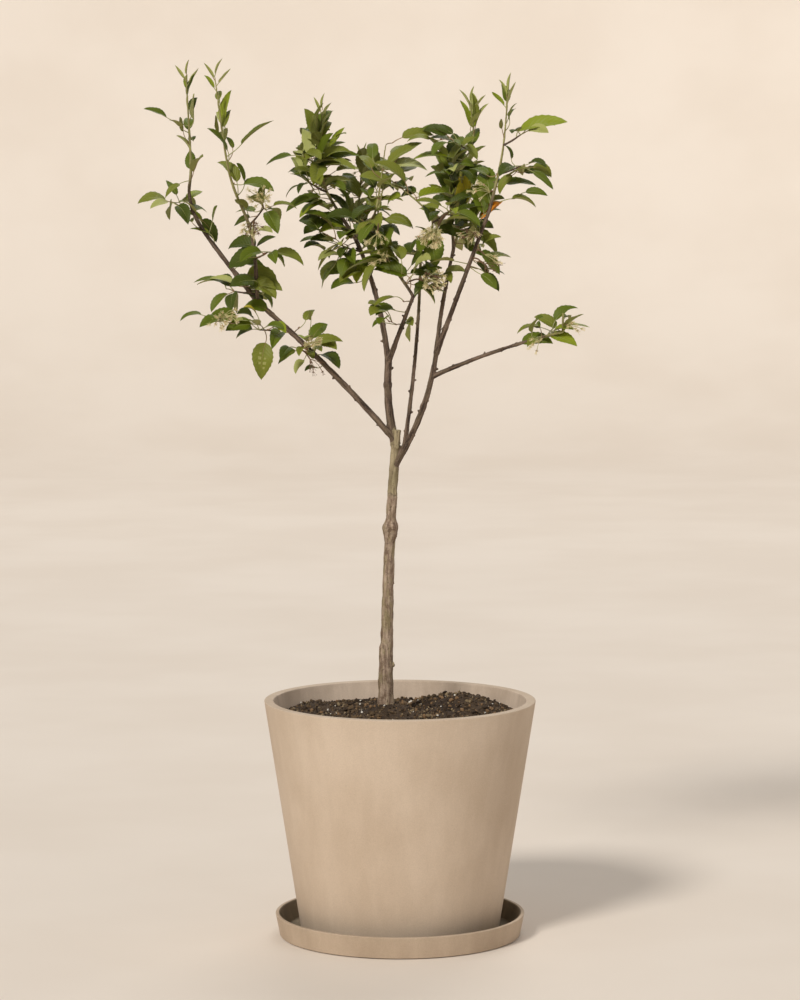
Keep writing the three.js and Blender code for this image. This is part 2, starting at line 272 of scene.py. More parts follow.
saucer = turned_vessel("clay_saucer", "saucer", SAUCER_FOOT_RADIUS, SAUCER_WALL, SAUCER_FLOOR, SAUCER_LIP)
bpy.ops.object.mode_set(mode="EDIT")
saucer_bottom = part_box("saucer")[0].z
pick("edges", lambda edge: all(vert.co.z < saucer_bottom + 2 * SAUCER_LIP for vert in edge.verts)
     and all(math.hypot(*vert.co.xy) > SAUCER_FOOT_RADIUS - 3 * SAUCER_LIP for vert in edge.verts))
bpy.ops.mesh.select_mode(type="VERT")
bpy.ops.mesh.vertices_smooth(factor=0.5, repeat=6, zaxis=False)
bpy.ops.object.mode_set(mode="OBJECT")
line_inside(saucer, clay_saucer, clay_dark_inside)
bpy.ops.object.shade_smooth_by_angle(angle=SMOOTH_EDGE)
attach(saucer, "root")
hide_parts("saucer")


# The pot: a tall tapering planter of the same composite, with a thick wall and a flat rim whose
# edges are only just eased. It stands in the saucer, and watering has stained its inner wall.
POT_FOOT_RADIUS = 146 * MM
POT_WALL = 14 * MM
POT_FLOOR = 16 * MM
POT_EDGE = 1.5 * MM

pot = turned_vessel("clay_pot", "pot", POT_FOOT_RADIUS, POT_WALL, POT_FLOOR, POT_EDGE)
line_inside(pot, clay_outside, clay_inside)
bpy.ops.object.shade_smooth_by_angle(angle=SMOOTH_EDGE)
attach(pot, "root")
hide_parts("pot")
pot_low, pot_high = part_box("pot")
pot_lean = (pot_high.x - POT_FOOT_RADIUS) / (pot_high.z - pot_low.z)


def inner_radius(height):
    """The radius of the pot's inner wall at a height."""
    return POT_FOOT_RADIUS + pot_lean * (height - pot_low.z) - POT_WALL


# The soil: a coarse potting mix that fills the pot to a little under its rim, heaped round the trunk
# and higher at the back right. Its top is broken into clods, and loose crumbs, fibres and white
# grains of perlite lie on it.
SOIL_LEVEL = 322 * MM
SOIL_DISH = 6 * MM
SOIL_DEPTH = 60 * MM
SOIL_CELLS = 190
# Heaps: where each is, how high it stands above the soil's level, and how far it spreads, in mm.
HEAPS = [(-20, 4, 28, 52), (96, 86, 22, 46), (42, 96, 12, 40), (-120, 96, 8, 34)]
# Clods and lumps: how many to the metre, and how high, in mm.
CLODS, LUMPS = (70, 2.6), (190, 3.4)
CRUMBS, FIBRES, PERLITE = 4200, 260, 95
MIDDLING_CRUMB, CRUMB_SPREAD, BIGGEST_CRUMB = 0.62, 0.42, 5.2
CRUMB_SHARES = (34, 38, 16, 12)
FIBRE_LENGTH, FIBRE_RADIUS, PERLITE_SIZE = (4, 11), (0.25, 0.7), (0.9, 2.1)


def soil_height(x, y):
    """The height of the soil's broken top at a place."""
    reach = math.hypot(x, y) / inner_radius(SOIL_LEVEL)
    height = SOIL_LEVEL - SOIL_DISH * (1 - reach * reach)
    for heap_x, heap_y, rise, width in HEAPS:
        away = math.hypot(x - heap_x * MM, y - heap_y * MM) / (width * MM)
        height += rise * MM * math.exp(-away * away)
    clods = noise.noise(Vector((x, y, 0.0)) * CLODS[0]) * CLODS[1] * MM
    lumps = abs(noise.noise(Vector((x, y, 0.3)) * LUMPS[0])) * LUMPS[1] * MM
    return height + clods + lumps


soil_radius = inner_radius(SOIL_LEVEL) + 2 * MM
start_piece()
bpy.ops.mesh.primitive_grid_add(
    x_subdivisions=SOIL_CELLS, y_subdivisions=SOIL_CELLS,
    size=2 * soil_radius, location=(0, 0, SOIL_LEVEL)
)
soil = bpy.context.object
soil.name = "potting_soil"
bpy.ops.object.transform_apply(location=True, rotation=True, scale=True)
bpy.ops.object.mode_set(mode="EDIT")
pick("faces", lambda face: math.hypot(*face.calc_center_median().xy) > soil_radius * 0.992)
bpy.ops.mesh.delete(type="FACE")
bpy.ops.mesh.select_all(action="SELECT")
bpy.ops.mesh.extrude_region_move(TRANSFORM_OT_translate={"value": (0, 0, -SOIL_DEPTH)})
bpy.ops.mesh.select_all(action="SELECT")
bpy.ops.mesh.normals_make_consistent(inside=False)
bpy.ops.object.mode_set(mode="OBJECT")
for vertex in soil.data.vertices:
    reach = math.hypot(*vertex.co.xy)
    if reach > soil_radius * 0.975:
        vertex.co.xy *= soil_radius / reach
    if vertex.co.z > SOIL_LEVEL - SOIL_DEPTH / 2:
        vertex.co.z = soil_height(vertex.co.x, vertex.co.y)
    else:
        vertex.co.xy *= inner_radius(vertex.co.z) / soil_radius

soil_skin, tree, shader = new_material("soil", 0.95)
place = object_place(tree)
damp = spread(tree, noise_in(tree, place, 22.0, 4.0), 0.35, 0.68)
crumbly = noise_in(tree, place, 330.0, 5.0, 0.7)
ground = blend_colours(tree, damp, paint(70, 54, 38), paint(46, 34, 24))
ground = blend_colours(tree, spread(tree, crumbly, 0.5, 0.75), ground, paint(110, 90, 66))
tree.links.new(ground, shader.inputs["Base Color"])
add_bump(tree, shader, crumbly, 1.5 * MM, 0.9)
soil.data.materials.append(soil_skin)
bpy.ops.object.shade_smooth()
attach(soil, "root")
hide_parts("soil")


class Joined:
    """Many small shapes gathered into one mesh."""

    def __init__(self, name, materials):
        self.name = name
        self.materials = materials
        self.corners = []
        self.faces = []
        self.slots = []
        self.marks = []

    def add(self, corners, faces, slot, marks=None):
        """Adds a shape: its corners, its faces, its slot or a slot for each face, and its UV marks."""
        first = len(self.corners)
        self.corners.extend(corners)
        self.faces.extend(tuple(first + corner for corner in face) for face in faces)
        self.slots.extend([slot] * len(faces) if isinstance(slot, int) else slot)
        self.marks.extend(marks if marks is not None else [(0.5, 0.5)] * len(corners))

    def build(self, smooth_angle, record_slot, *replaced):
        """The finished piece, riding on the plant."""
        mesh = bpy.data.meshes.new(self.name)
        mesh.from_pydata([tuple(corner) for corner in self.corners], [], self.faces)
        for material in self.materials:
            mesh.materials.append(material)
        mesh.polygons.foreach_set("material_index", self.slots)
        corner_of = np.empty(len(mesh.loops), np.int32)
        mesh.loops.foreach_get("vertex_index", corner_of)
        marks = np.array(self.marks, np.float32)[corner_of]
        mesh.uv_layers.new(name="shape").data.foreach_set("uv", marks.ravel())
        piece = bpy.data.objects.new(self.name, mesh)
        bpy.context.collection.objects.link(piece)
        start_piece()
        bpy.context.view_layer.objects.active = piece
        piece.select_set(True)
        bpy.ops.object.shade_smooth_by_angle(angle=math.radians(smooth_angle))
        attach(piece, "root")
        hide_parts(*replaced)
        return piece


def plain_material(name, colour, roughness=0.8, grain_scale=900.0, grain_depth=0.15 * MM):
    """One colour all over, with a fine grain in its relief."""
    material, tree, shader = new_material(name, roughness)
    shader.inputs["Base Color"].default_value = colour
    add_bump(tree, shader, noise_in(tree, object_place(tree), grain_scale, 3.0), grain_depth, 0.7)
    return material


GOLDEN = (1 + math.sqrt(5)) / 2
LUMP_CORNERS = np.array(
    [(a, b * GOLDEN, 0) for a in (-1, 1) for b in (-1, 1)]
    + [(0, a, b * GOLDEN) for a in (-1, 1) for b in (-1, 1)]
    + [(b * GOLDEN, 0, a) for a in (-1, 1) for b in (-1, 1)]
) / math.hypot(1, GOLDEN)
lump_shape = bmesh.new()
for corner in LUMP_CORNERS:
    lump_shape.verts.new(corner)
bmesh.ops.convex_hull(lump_shape, input=lump_shape.verts)
LUMP_FACES = [tuple(vertex.index for vertex in face.verts) for face in lump_shape.faces]
lump_shape.free()
dice = random.Random(41)


def unit(vector):
    return vector / np.linalg.norm(vector)


def turned_at_random(corners):
    """The corners turned to any direction."""
    a = np.array([dice.gauss(0, 1) for _ in range(3)])
    b = np.cross(a, [dice.gauss(0, 1) for _ in range(3)])
    a, b = unit(a), unit(b)
    return corners @ np.array([a, b, np.cross(a, b)])


def lump(size, flatness):
    """An uneven pebble shape, flatter as flatness goes to 0."""
    rough = LUMP_CORNERS * [[dice.uniform(0.75, 1.2)] for _ in LUMP_CORNERS]
    return turned_at_random(rough * (size, size * 0.75, size * flatness))


def place_on_soil(most=0.98):
    """A random place on the soil's top."""
    reach = most * inner_radius(SOIL_LEVEL) * math.sqrt(dice.random())
    turn = dice.uniform(0, 2 * math.pi)
    x, y = reach * math.cos(turn), reach * math.sin(turn)
    return np.array([x, y, soil_height(x, y)])


crumbs = Joined("soil_crumbs", [
    plain_material("crumb dark", paint(58, 44, 30), 0.95),
    plain_material("crumb brown", paint(92, 74, 52), 0.95),
    plain_material("crumb bark", paint(126, 98, 68), 0.9),
    plain_material("crumb pale", paint(138, 120, 92), 0.95),
])
for _ in range(CRUMBS):
    size = min(BIGGEST_CRUMB, dice.lognormvariate(MIDDLING_CRUMB, CRUMB_SPREAD)) * MM
    middle = place_on_soil() + (0, 0, size * 0.35)
    shape = lump(size, dice.uniform(0.3, 0.8)) + middle
    crumbs.add(shape, LUMP_FACES, dice.choices((0, 1, 2, 3), CRUMB_SHARES)[0])
for _ in range(FIBRES):
    root = place_on_soil()
    lean = np.array([dice.gauss(0, 1), dice.gauss(0, 1), abs(dice.gauss(0, 0.6))])
    lean *= dice.uniform(*FIBRE_LENGTH) * MM / np.linalg.norm(lean)
    thick = dice.uniform(*FIBRE_RADIUS) * MM
    ring = [(thick, 0, 0), (0, thick, 0), (-thick, 0, 0), (0, -thick, 0)]
    spindle = [root - lean * 0.3] + [root + lean * 0.3 + corner for corner in ring] + [root + lean]
    sides = [(0, 1 + (k + 1) % 4, 1 + k) for k in range(4)]
    sides += [(5, 1 + k, 1 + (k + 1) % 4) for k in range(4)]
    crumbs.add(spindle, sides, dice.choice((0, 1, 2)))
crumbs.build(35, "soil")

perlite = Joined("perlite", [plain_material("perlite", paint(226, 221, 210), 0.85, 2200.0, 0.3 * MM)])
for _ in range(PERLITE):
    size = dice.uniform(*PERLITE_SIZE) * MM
    perlite.add(lump(size, dice.uniform(0.7, 1.0)) + place_on_soil() + (0, 0, size * 1.1), LUMP_FACES, 0)
perlite.build(40, "soil")


# The trunk and boughs: one grown piece of wood. The stem rises from the soil with a slight flare,
# swells where the tree was grafted, and ends in a cut stub at the fork. The boughs leave it in
# collars and run on through the crown as leaders, each thinner and browner than the last.
TRUNK_FOOT, TRUNK_FORK = (-20, 0, 350), (-5, 0, 745)
TRUNK_SUNK = 25
TRUNK_CURL = 2
TRUNK_BENDS = 8
TRUNK_FOOT_RADIUS, TRUNK_TOP_RADIUS = 9.8, 6.4
ROOT_FLARE, ROOT_FLARE_LENGTH = 1.2, 18
GRAFT_HEIGHT, GRAFT_SWELL, GRAFT_LENGTH = 600, 3.7, 12.5
# Boughs: the limb that each grows from and how far along. Then its lean from upright in degrees, to the
# right as seen from the front, its length, how far it reaches back, how far it bows to the right of its
# own way up, and its radius at both ends, all in millimetres.
BOUGHS = {
    "left_bough": ("trunk", 0.96, -45, 285, 25, 10, (4.7, 3.5)),
    "centre_left_bough": ("trunk", 0.95, -5, 120, 25, -10, (6.5, 5.0)),
    "centre_left_leader": ("centre_left_bough", 0.97, -15, 185, 65, 15, (4.5, 3.0)),
    "centre_right_leader": ("centre_left_bough", 0.99, 20, 105, -65, 0, (4.0, 2.5)),
    "right_bough": ("trunk", 0.87, 20, 180, -20, 20, (5.0, 3.5)),
    "middle_bough": ("right_bough", 0.15, 5, 290, 40, 10, (3.3, 2.0)),
    "right_side_bough": ("right_bough", 0.8, 70, 200, -55, -10, (3.5, 2.0)),
    "right_back_leader": ("right_bough", 0.99, 10, 150, 80, -5, (3.5, 2.5)),
    "right_front_leader": ("right_bough", 0.99, 20, 225, -40, 0, (4.0, 2.5)),
}
# Leaders: the bough whose tip each grows on from, the masses of leaves that it runs up through and how
# high it passes in each, and its radius at both ends.
LEADERS = {
    "left_top": ("left_bough", (("left_outer_leaves", 0.15), ("left_outer_leaves", 0.6),
                                ("left_tip_leaves", 0.1), ("left_tip_leaves", 0.9)), (4.1, 1.0)),
    "left_second_top": ("left_bough", (("left_blossom_leaves", 0.25), ("left_second_leaves", 0.08),
                                       ("left_second_leaves", 0.88)), (3.2, 0.9)),
    "centre_top": ("centre_left_leader",
                   (("centre_crown_leaves", 0.3), ("centre_crown_leaves", 0.9)), (2.9, 0.9)),
    "centre_second_top": ("centre_left_leader",
                          (("centre_leaves", 0.8), ("centre_top_leaves", 0.9)), (2.5, 1.0)),
    "centre_front_top": ("centre_right_leader",
                         (("centre_leaves", 0.6), ("centre_top_leaves", 0.55)), (2.5, 1.0)),
    "middle_top": ("middle_bough", (("right_inner_leaves", 0.8), ("centre_top_leaves", 0.5)), (2.2, 0.9)),
    "right_back_top": ("right_back_leader", (("right_crown_leaves", 0.4), ("right_upright_leaves", 0.2),
                                             ("right_upright_leaves", 0.8)), (2.5, 1.0)),
    "right_front_top": ("right_front_leader",
                        (("right_tip_leaves", 0.2), ("right_tip_leaves", 0.85)), (2.5, 0.9)),
    "right_side_top": ("right_side_bough", (("right_side_leaves", 0.85),), (2.1, 1.4)),
    "back_left_top": ("centre_left_leader",
                      (("centre_back_leaves", 0.5), ("centre_back_leaves", 0.85)), (2.4, 0.9)),
    "back_right_top": ("right_back_leader",
                       (("right_back_leaves", 0.4), ("right_back_leaves", 0.85)), (2.3, 0.9)),
}
# Spurs: short side twigs, the limb that each leaves and how far along, its length in millimetres, its
# bearing in degrees, 0 to the right and 90 to the back, and its rise in degrees.
SPURS = {
    "left_spur": ("left_bough", 0.8, 55, 225, 0),
    "left_low_spur": ("left_bough", 0.65, 25, 270, 5),
    "left_outer_twig": ("left_top", 0.45, 35, 200, 25),
    "left_elbow_twig": ("left_second_top", 0.2, 30, 315, 20),
    "left_blossom_twig": ("left_second_top", 0.35, 35, 330, 45),
    "crown_left_twig": ("centre_top", 0.4, 35, 215, 25),
    "crown_upper_twig": ("centre_top", 0.6, 30, 215, 25),
    "crown_low_twig": ("centre_left_leader", 0.9, 38, 220, 15),
    "crown_front_twig": ("centre_second_top", 0.3, 55, 290, 15),
    "middle_twig": ("middle_top", 0.4, 50, 300, 20),
    "right_low_twig": ("right_back_leader", 0.65, 45, 250, 15),
    "right_reaching_twig": ("right_back_top", 0.7, 50, 240, 15),
    "right_outer_twig": ("right_front_top", 0.3, 35, 345, 20),
    "right_far_twig": ("right_front_top", 0.55, 30, 340, 30),
    "left_level_twig": ("left_top", 0.05, 25, 170, 5),
}
SPUR_RADII = (1.6, 1.0)
SPUR_DROOP = 0.03
COLLAR_SWELL, COLLAR_LENGTH = 0.22, 9
LIMB_STEP = 2.5
BOUGH_BENDS = 9
LINE_FINENESS = 24
SLICE_DEPTH = 0.2
BARK_CELL = 1.0 * MM


def smooth_line(points, step):
    """A smooth line through the points, cut into even steps."""
    points = np.array(points, float)
    padded = np.vstack([2 * points[0] - points[1], points, 2 * points[-1] - points[-2]])
    fine = []
    for a, b, c, d in zip(padded, padded[1:], padded[2:], padded[3:]):
        for t in np.linspace(0, 1, LINE_FINENESS, endpoint=False):
            bending = 2 * a - 5 * b + 4 * c - d + t * (3 * (b - c) + d - a)
            fine.append(b + 0.5 * t * (c - a + t * bending))
    fine = np.array(fine + [points[-1]])
    run = np.concatenate([[0], np.cumsum(np.linalg.norm(np.diff(fine, axis=0), axis=1))])
    even = np.linspace(0, run[-1], max(2, round(run[-1] / step) + 1))
    return np.stack([np.interp(even, run, fine[:, axis]) for axis in range(3)], axis=1)


def heading(bearing, rise):
    """The direction at a bearing (0 to the right, 90 to the back) and a rise, both in radians."""
    return np.array([math.cos(bearing) * math.cos(rise), math.sin(bearing) * math.cos(rise), math.sin(rise)])


def spots_of(mass):
    """The corners of a mass of leaves, in mm."""
    return np.array([vertex.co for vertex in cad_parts[mass].data.vertices]) / MM


def place_in(mass, share):
    """The middle of a mass of leaves at a share of its height, in mm."""
    spots = spots_of(mass)
    low, high = spots[:, 2].min(), spots[:, 2].max()
    height = low + share * (high - low)
    near = spots[abs(spots[:, 2] - height) < SLICE_DEPTH * (high - low)]
    return np.array([*near.mean(0)[:2], height])


def bent_line(start, bend, tip, count):
    """Points on a springy rod that leaves the start towards the bend and ends at the tip."""
    start, bend, tip = (np.array(point, float) for point in (start, bend, tip))
    shares = np.linspace(0, 1, count)[:, None]
    return (1 - shares) ** 2 * start + 2 * shares * (1 - shares) * bend + shares**2 * tip


def trunk_radius(height):
    """The trunk's radius at a height, with its flare at the soil and its swelling at the graft."""
    foot, fork = TRUNK_FOOT[2], TRUNK_FORK[2]
    taper = TRUNK_FOOT_RADIUS + (TRUNK_TOP_RADIUS - TRUNK_FOOT_RADIUS) * (height - foot) / (fork - foot)
    flare = ROOT_FLARE * np.exp((foot - np.maximum(height, foot)) / ROOT_FLARE_LENGTH)
    return taper + flare + GRAFT_SWELL * np.exp(-abs((height - GRAFT_HEIGHT) / GRAFT_LENGTH) ** 3)


limbs = {}
trunk_foot, trunk_fork = np.array(TRUNK_FOOT, float), np.array(TRUNK_FORK, float)
trunk_line = [trunk_foot - (0, 0, TRUNK_SUNK)]
for share in np.linspace(0, 1, TRUNK_BENDS):
    place = trunk_foot + (trunk_fork - trunk_foot) * share
    place[0] = trunk_foot[0] + (trunk_fork[0] - trunk_foot[0]) * share**TRUNK_CURL
    trunk_line.append(place)
trunk_points = smooth_line(trunk_line, LIMB_STEP)
limbs["trunk"] = (trunk_points, trunk_radius(trunk_points[:, 2]))
for name, (on, share, lean, length, back, bow, (thick, thin)) in BOUGHS.items():
    parent = limbs[on][0]
    if on == "trunk":
        parent = parent[parent[:, 2] >= TRUNK_FOOT[2]]
    start = parent[round(share * (len(parent) - 1))]
    lean = math.radians(lean)
    tip = start + (math.sin(lean) * length, back, math.cos(lean) * length)
    bend = (start + tip) / 2 + np.array((math.cos(lean), 0, -math.sin(lean))) * bow
    points = smooth_line(bent_line(start, bend, tip, BOUGH_BENDS), LIMB_STEP)
    shares = np.linspace(0, 1, len(points))
    collar = 1 + COLLAR_SWELL * np.exp(-shares * len(points) * LIMB_STEP / COLLAR_LENGTH)
    limbs[name] = (points, (thick + (thin - thick) * shares) * collar)
for name, (on, passes, (thick, thin)) in LEADERS.items():
    points = smooth_line([limbs[on][0][-1], *(place_in(mass, share) for mass, share in passes)], LIMB_STEP)
    limbs[name] = (points, np.linspace(thick, thin, len(points)))
for name, (on, share, length, bearing, rise) in SPURS.items():
    parent = limbs[on][0]
    start = parent[round(share * (len(parent) - 1))]
    way = heading(math.radians(bearing), math.radians(rise)) * length
    points = smooth_line([start, start + way / 2 - (0, 0, length * SPUR_DROOP), start + way], LIMB_STEP)
    limbs[name] = (points, np.linspace(*SPUR_RADII, len(points)))

# Buds and old spurs stand on alternate sides of the bare wood. There are two short snags on the trunk
# and two cut stubs at the fork, each with its foot, its tip and its radius in mm.
FIRST_BUD, BUD_SPACING, BUD_STRAY, BUD_SLANT = 13, 26, 2, 0.9
BUD_REACHES = (0.8, 1.0, 1.3, 3.2)
BUD_WIDTH, BUD_TIP, BUD_STEP, SNAG_STEP = 0.62, 1.2, 1.0, 1.5
SNAGS = [((-20, -1, 398), (-8.0, -3, 402), 2.9), ((-17, 0, 520), (-8.6, -2, 523), 2.4),
         ((-6, -4, 720), (-2.5, -5, 747), 4.6), ((-6, 0, 700), (2, 0, 722), 5.0)]


def limb_body(points, radii):
    """A round tapering rod along the points."""
    curve = bpy.data.curves.new("limb", "CURVE")
    curve.dimensions = "3D"
    curve.bevel_depth = MM
    curve.bevel_resolution = 6
    curve.use_fill_caps = True
    spline = curve.splines.new("POLY")
    spline.points.add(len(points) - 1)
    for knot, point, radius in zip(spline.points, points, radii):
        knot.co = (*(point * MM), 1)
        knot.radius = radius
    rod = bpy.data.objects.new("limb", curve)
    bpy.context.collection.objects.link(rod)
    return rod


start_piece()
rods = [limb_body(points, radii) for name, (points, radii) in limbs.items() if name not in SPURS]
for foot, tip, radius in SNAGS:
    snag = smooth_line([foot, tip], SNAG_STEP)
    rods.append(limb_body(snag, [radius] * len(snag)))
sprout = random.Random(7)
for name, (points, radii) in limbs.items():
    if name == "trunk" or name in LEADERS or name in SPURS:
        continue
    side = 1
    for index in range(FIRST_BUD, len(points) - 2, round(BUD_SPACING / LIMB_STEP)):
        index = min(len(points) - 2, index + sprout.randint(-BUD_STRAY, BUD_STRAY))
        forward = unit(points[index + 1] - points[index])
        slant = np.array((0, sprout.uniform(-BUD_SLANT, BUD_SLANT), 0))
        outward = unit(np.cross(forward, (0, 1, 0)) * side + slant)
        reach = radii[index] + sprout.choice(BUD_REACHES)
        tip = points[index] + outward * reach + forward * reach * 0.5
        swell = smooth_line([points[index], tip], BUD_STEP)
        rods.append(limb_body(swell, np.linspace(radii[index] * BUD_WIDTH, BUD_TIP, len(swell))))
        side = -side
for rod in rods:
    rod.select_set(True)
bpy.context.view_layer.objects.active = rods[0]
bpy.ops.object.convert(target="MESH")
bpy.ops.object.join()
bark = bpy.context.object
bark.name = "bark"
apply_modifier("REMESH", mode="VOXEL", voxel_size=BARK_CELL, adaptivity=0.0)
apply_modifier("SMOOTH", factor=0.5, iterations=3)

# The grain: each point of the bark knows its place across and along its own limb, so that ridges
# run with the wood and the breathing pores run round it.
LIMB_RUN = 1000.0
INSIDE_PARENT = 2
AS_THICK_AS_TRUNK = 9
limb_samples = []
for name, (points, radii) in limbs.items():
    if name in SPURS:
        continue
    forward = np.gradient(points, axis=0)
    forward /= np.linalg.norm(forward, axis=1)[:, None]
    across = np.cross((0.0, 1.0, 0.0), forward)
    across /= np.linalg.norm(across, axis=1)[:, None]
    offset = LIMB_RUN * len(limb_samples)
    columns = (points, radii, forward, across, np.arange(len(points)) * LIMB_STEP + offset)
    inside_parent = 0 if name == "trunk" else INSIDE_PARENT
    limb_samples.append(tuple(column[inside_parent:] for column in columns))
sample_points, sample_radii, sample_forward, sample_across, sample_run = (
    np.concatenate(column) for column in zip(*limb_samples)
)
sample_tree = kdtree.KDTree(len(sample_points))
for index, point in enumerate(sample_points):
    sample_tree.insert(point, index)
sample_tree.balance()


def read_vectors(items, field):
    """A vector field of many mesh items, one row for each."""
    flat = np.empty(len(items) * 3, np.float32)
    items.foreach_get(field, flat)
    return flat.reshape(-1, 3)


corners = read_vectors(bark.data.vertices, "co") / MM
normals = read_vectors(bark.data.vertex_normals, "vector")
nearest = np.array([sample_tree.find(corner)[1] for corner in corners])
from_middle = corners - sample_points[nearest]
sample_back = np.cross(sample_forward, sample_across)
grain_place = np.stack([
    (from_middle * sample_across[nearest]).sum(1),
    (from_middle * sample_back[nearest]).sum(1),
    sample_run[nearest] + (from_middle * sample_forward[nearest]).sum(1),
], axis=1)
thickness = sample_radii[nearest]

# Relief, in mm: long ridges and soft lumps that grow with the limb, pores round it, old ring scars,
# a knobbly graft, and the shoulder on the trunk's left where the lower wood is thicker.
RIDGE_HEIGHT, LUMP_HEIGHT, PORE_HEIGHT, GRAFT_ROUGHNESS = 0.055, 0.13, 0.28, 1.7
KNUCKLE_HEIGHT, KNUCKLE_RUN, KNUCKLE_START = 0.3, 0.085, 0.12
# Each kind of noise over the grain: how fine it is across the limb and along it, and its shift.
RIDGE_GRAIN, LUMP_GRAIN, PORE_GRAIN = (0.5, 0.05, 0), (0.11, 0.07, 31), (0.16, 0.62, 57)
SCAR_WANDER_GRAIN, SCAR_FADE_GRAIN, GRAFT_GRAIN = (0.16, 0.03, 11), (0.22, 0.01, 29), (0.13, 0.13, 83)
# Ring scars on the trunk, each height in mm with how strongly it shows, and those on the boughs.
RING_SCARS = {652: 1.0, 620: 0.3, 500: 0.3, 457: 0.35, 378: 0.25}
BOUGH_SCAR = 0.6
CLEAR_OF_FORK = 18
SCAR_SPACING = (22, 52)
SCAR_WIDTH, SCAR_DEPTH, SCAR_LIP, SCAR_LIP_WIDTH = 0.8, 0.3, 0.42, 2.2
SCAR_TILT, SCAR_WANDER, SCAR_KEPT, SCAR_FADE = 0.2, 2.2, 0.75, 1.6
SHOULDER_HEIGHT, SHOULDER_STEP, SHOULDER_SOFTNESS = 430, 2.1, 1.3


def grain_noise(across_scale, along_scale, shift):
    """Noise over the grain, a value for each corner of the bark."""
    scaled = grain_place * (across_scale, across_scale, along_scale) + shift
    return np.array([noise.noise(Vector(place)) for place in scaled])


relief = thickness * (RIDGE_HEIGHT * grain_noise(*RIDGE_GRAIN) + LUMP_HEIGHT * grain_noise(*LUMP_GRAIN))
relief += PORE_HEIGHT * np.maximum(0, grain_noise(*PORE_GRAIN))
knuckles = np.array([noise.noise(Vector((0.0, 7.0, run))) for run in grain_place[:, 2] * KNUCKLE_RUN])
height = corners[:, 2]
on_trunk = nearest < len(limbs["trunk"][0])
scars = [(height_of_scar - trunk_points[0, 2], strength) for height_of_scar, strength in RING_SCARS.items()]
run = LIMB_RUN
while run < sample_run[-1]:
    run += sprout.uniform(*SCAR_SPACING)
    scars.append((run, BOUGH_SCAR))
scar_places, scar_strengths = np.array(sorted(scars)).T
tilted_run = grain_place[:, 2] + SCAR_TILT * grain_place[:, 0]
tilted_run = tilted_run + SCAR_WANDER * grain_noise(*SCAR_WANDER_GRAIN)
later = np.clip(np.searchsorted(scar_places, tilted_run), 1, len(scar_places) - 1)
to_later, to_earlier = abs(scar_places[later] - tilted_run), abs(tilted_run - scar_places[later - 1])
from_scar = np.minimum(to_later, to_earlier)
strength = np.where(to_later < to_earlier, scar_strengths[later], scar_strengths[later - 1])
strength = strength * (on_trunk | (sample_run[nearest] % LIMB_RUN > CLEAR_OF_FORK))
strength = strength * np.clip(SCAR_KEPT + SCAR_FADE * grain_noise(*SCAR_FADE_GRAIN), 0, 1)
scar = strength * np.exp(-((from_scar / SCAR_WIDTH) ** 2))
lip = np.exp(-(((from_scar - SCAR_LIP_WIDTH) / SCAR_LIP_WIDTH) ** 2))
relief += SCAR_LIP * strength * lip - SCAR_DEPTH * scar
near_graft = np.exp(-(((height - GRAFT_HEIGHT) / (GRAFT_LENGTH * 1.1)) ** 2)) * on_trunk
relief += near_graft * GRAFT_ROUGHNESS * grain_noise(*GRAFT_GRAIN)
relief += KNUCKLE_HEIGHT * thickness * np.maximum(0, knuckles - KNUCKLE_START) * (1 - on_trunk)
below_shoulder = 0.5 - 0.5 * np.tanh((height - SHOULDER_HEIGHT) / (2 * SHOULDER_SOFTNESS))
relief += on_trunk * below_shoulder * SHOULDER_STEP * np.clip(-normals[:, 0], 0, 1) ** 1.5
corners = (corners + normals * relief[:, None]) * MM
bark.data.vertices.foreach_set("co", corners.astype(np.float32).ravel())
for name, kind, field, values in (
    ("grain", "FLOAT_VECTOR", "vector", grain_place * MM),
    ("thickness", "FLOAT", "value", np.where(on_trunk, AS_THICK_AS_TRUNK, thickness)),
    ("scar", "FLOAT", "value", scar),
):
    mark = bark.data.attributes.new(name, kind, "POINT")
    mark.data.foreach_set(field, values.astype(np.float32).ravel())
bark.data.update()

bark_skin, tree, shader = new_material("bark", 0.85)
grain_at = add_node(tree, "Attribute", attribute_name="grain").outputs["Vector"]
thick_at = add_node(tree, "Attribute", attribute_name="thickness").outputs["Fac"]
scar_at = add_node(tree, "Attribute", attribute_name="scar").outputs["Fac"]
height_at = add_node(tree, "SeparateXYZ", {"Vector": object_place(tree)}).outputs["Z"]


def grain_marks(squeeze, scale, detail, rough, low, high):
    """Marks from 0 to 1 that follow the grain."""
    return spread(tree, noise_in(tree, squeezed(tree, grain_at, squeeze), scale, detail, rough), low, high)


streaks = grain_marks((1, 1, 0.12), 300.0, 5.0, 0.6, 0.36, 0.66)
cracks = grain_marks((1, 1, 0.14), 520.0, 3.0, 0.7, 0.56, 0.66)
patches = grain_marks((1, 1, 0.5), 70.0, 6.0, 0.7, 0.46, 0.6)
blotches = grain_marks((1, 1, 0.6), 110.0, 6.0, 0.7, 0.5, 0.64)
pores = grain_marks((0.3, 0.3, 1), 560.0, 2.0, 0.55, 0.64, 0.7)
fine = noise_in(tree, squeezed(tree, grain_at, (1, 1, 0.35)), 1500.0, 4.0, 0.65)
thick_wood = spread(tree, thick_at, 6.2, 7.2)
thin_wood = spread(tree, thick_at, 2.5, 2.0)
old_bark = blend_colours(tree, streaks, paint(122, 102, 86), paint(182, 162, 142))
old_bark = blend_colours(tree, scaled(tree, patches, 0.6), old_bark, paint(140, 130, 92))
old_bark = blend_colours(tree, scaled(tree, blotches, 0.75), old_bark, paint(96, 74, 57))
upper = spread(tree, height_at, 0.646, 0.656)
upper_bark = blend_colours(tree, streaks, paint(122, 112, 82), paint(164, 152, 118))
old_bark = blend_colours(tree, scaled(tree, upper, 0.75), old_bark, upper_bark)
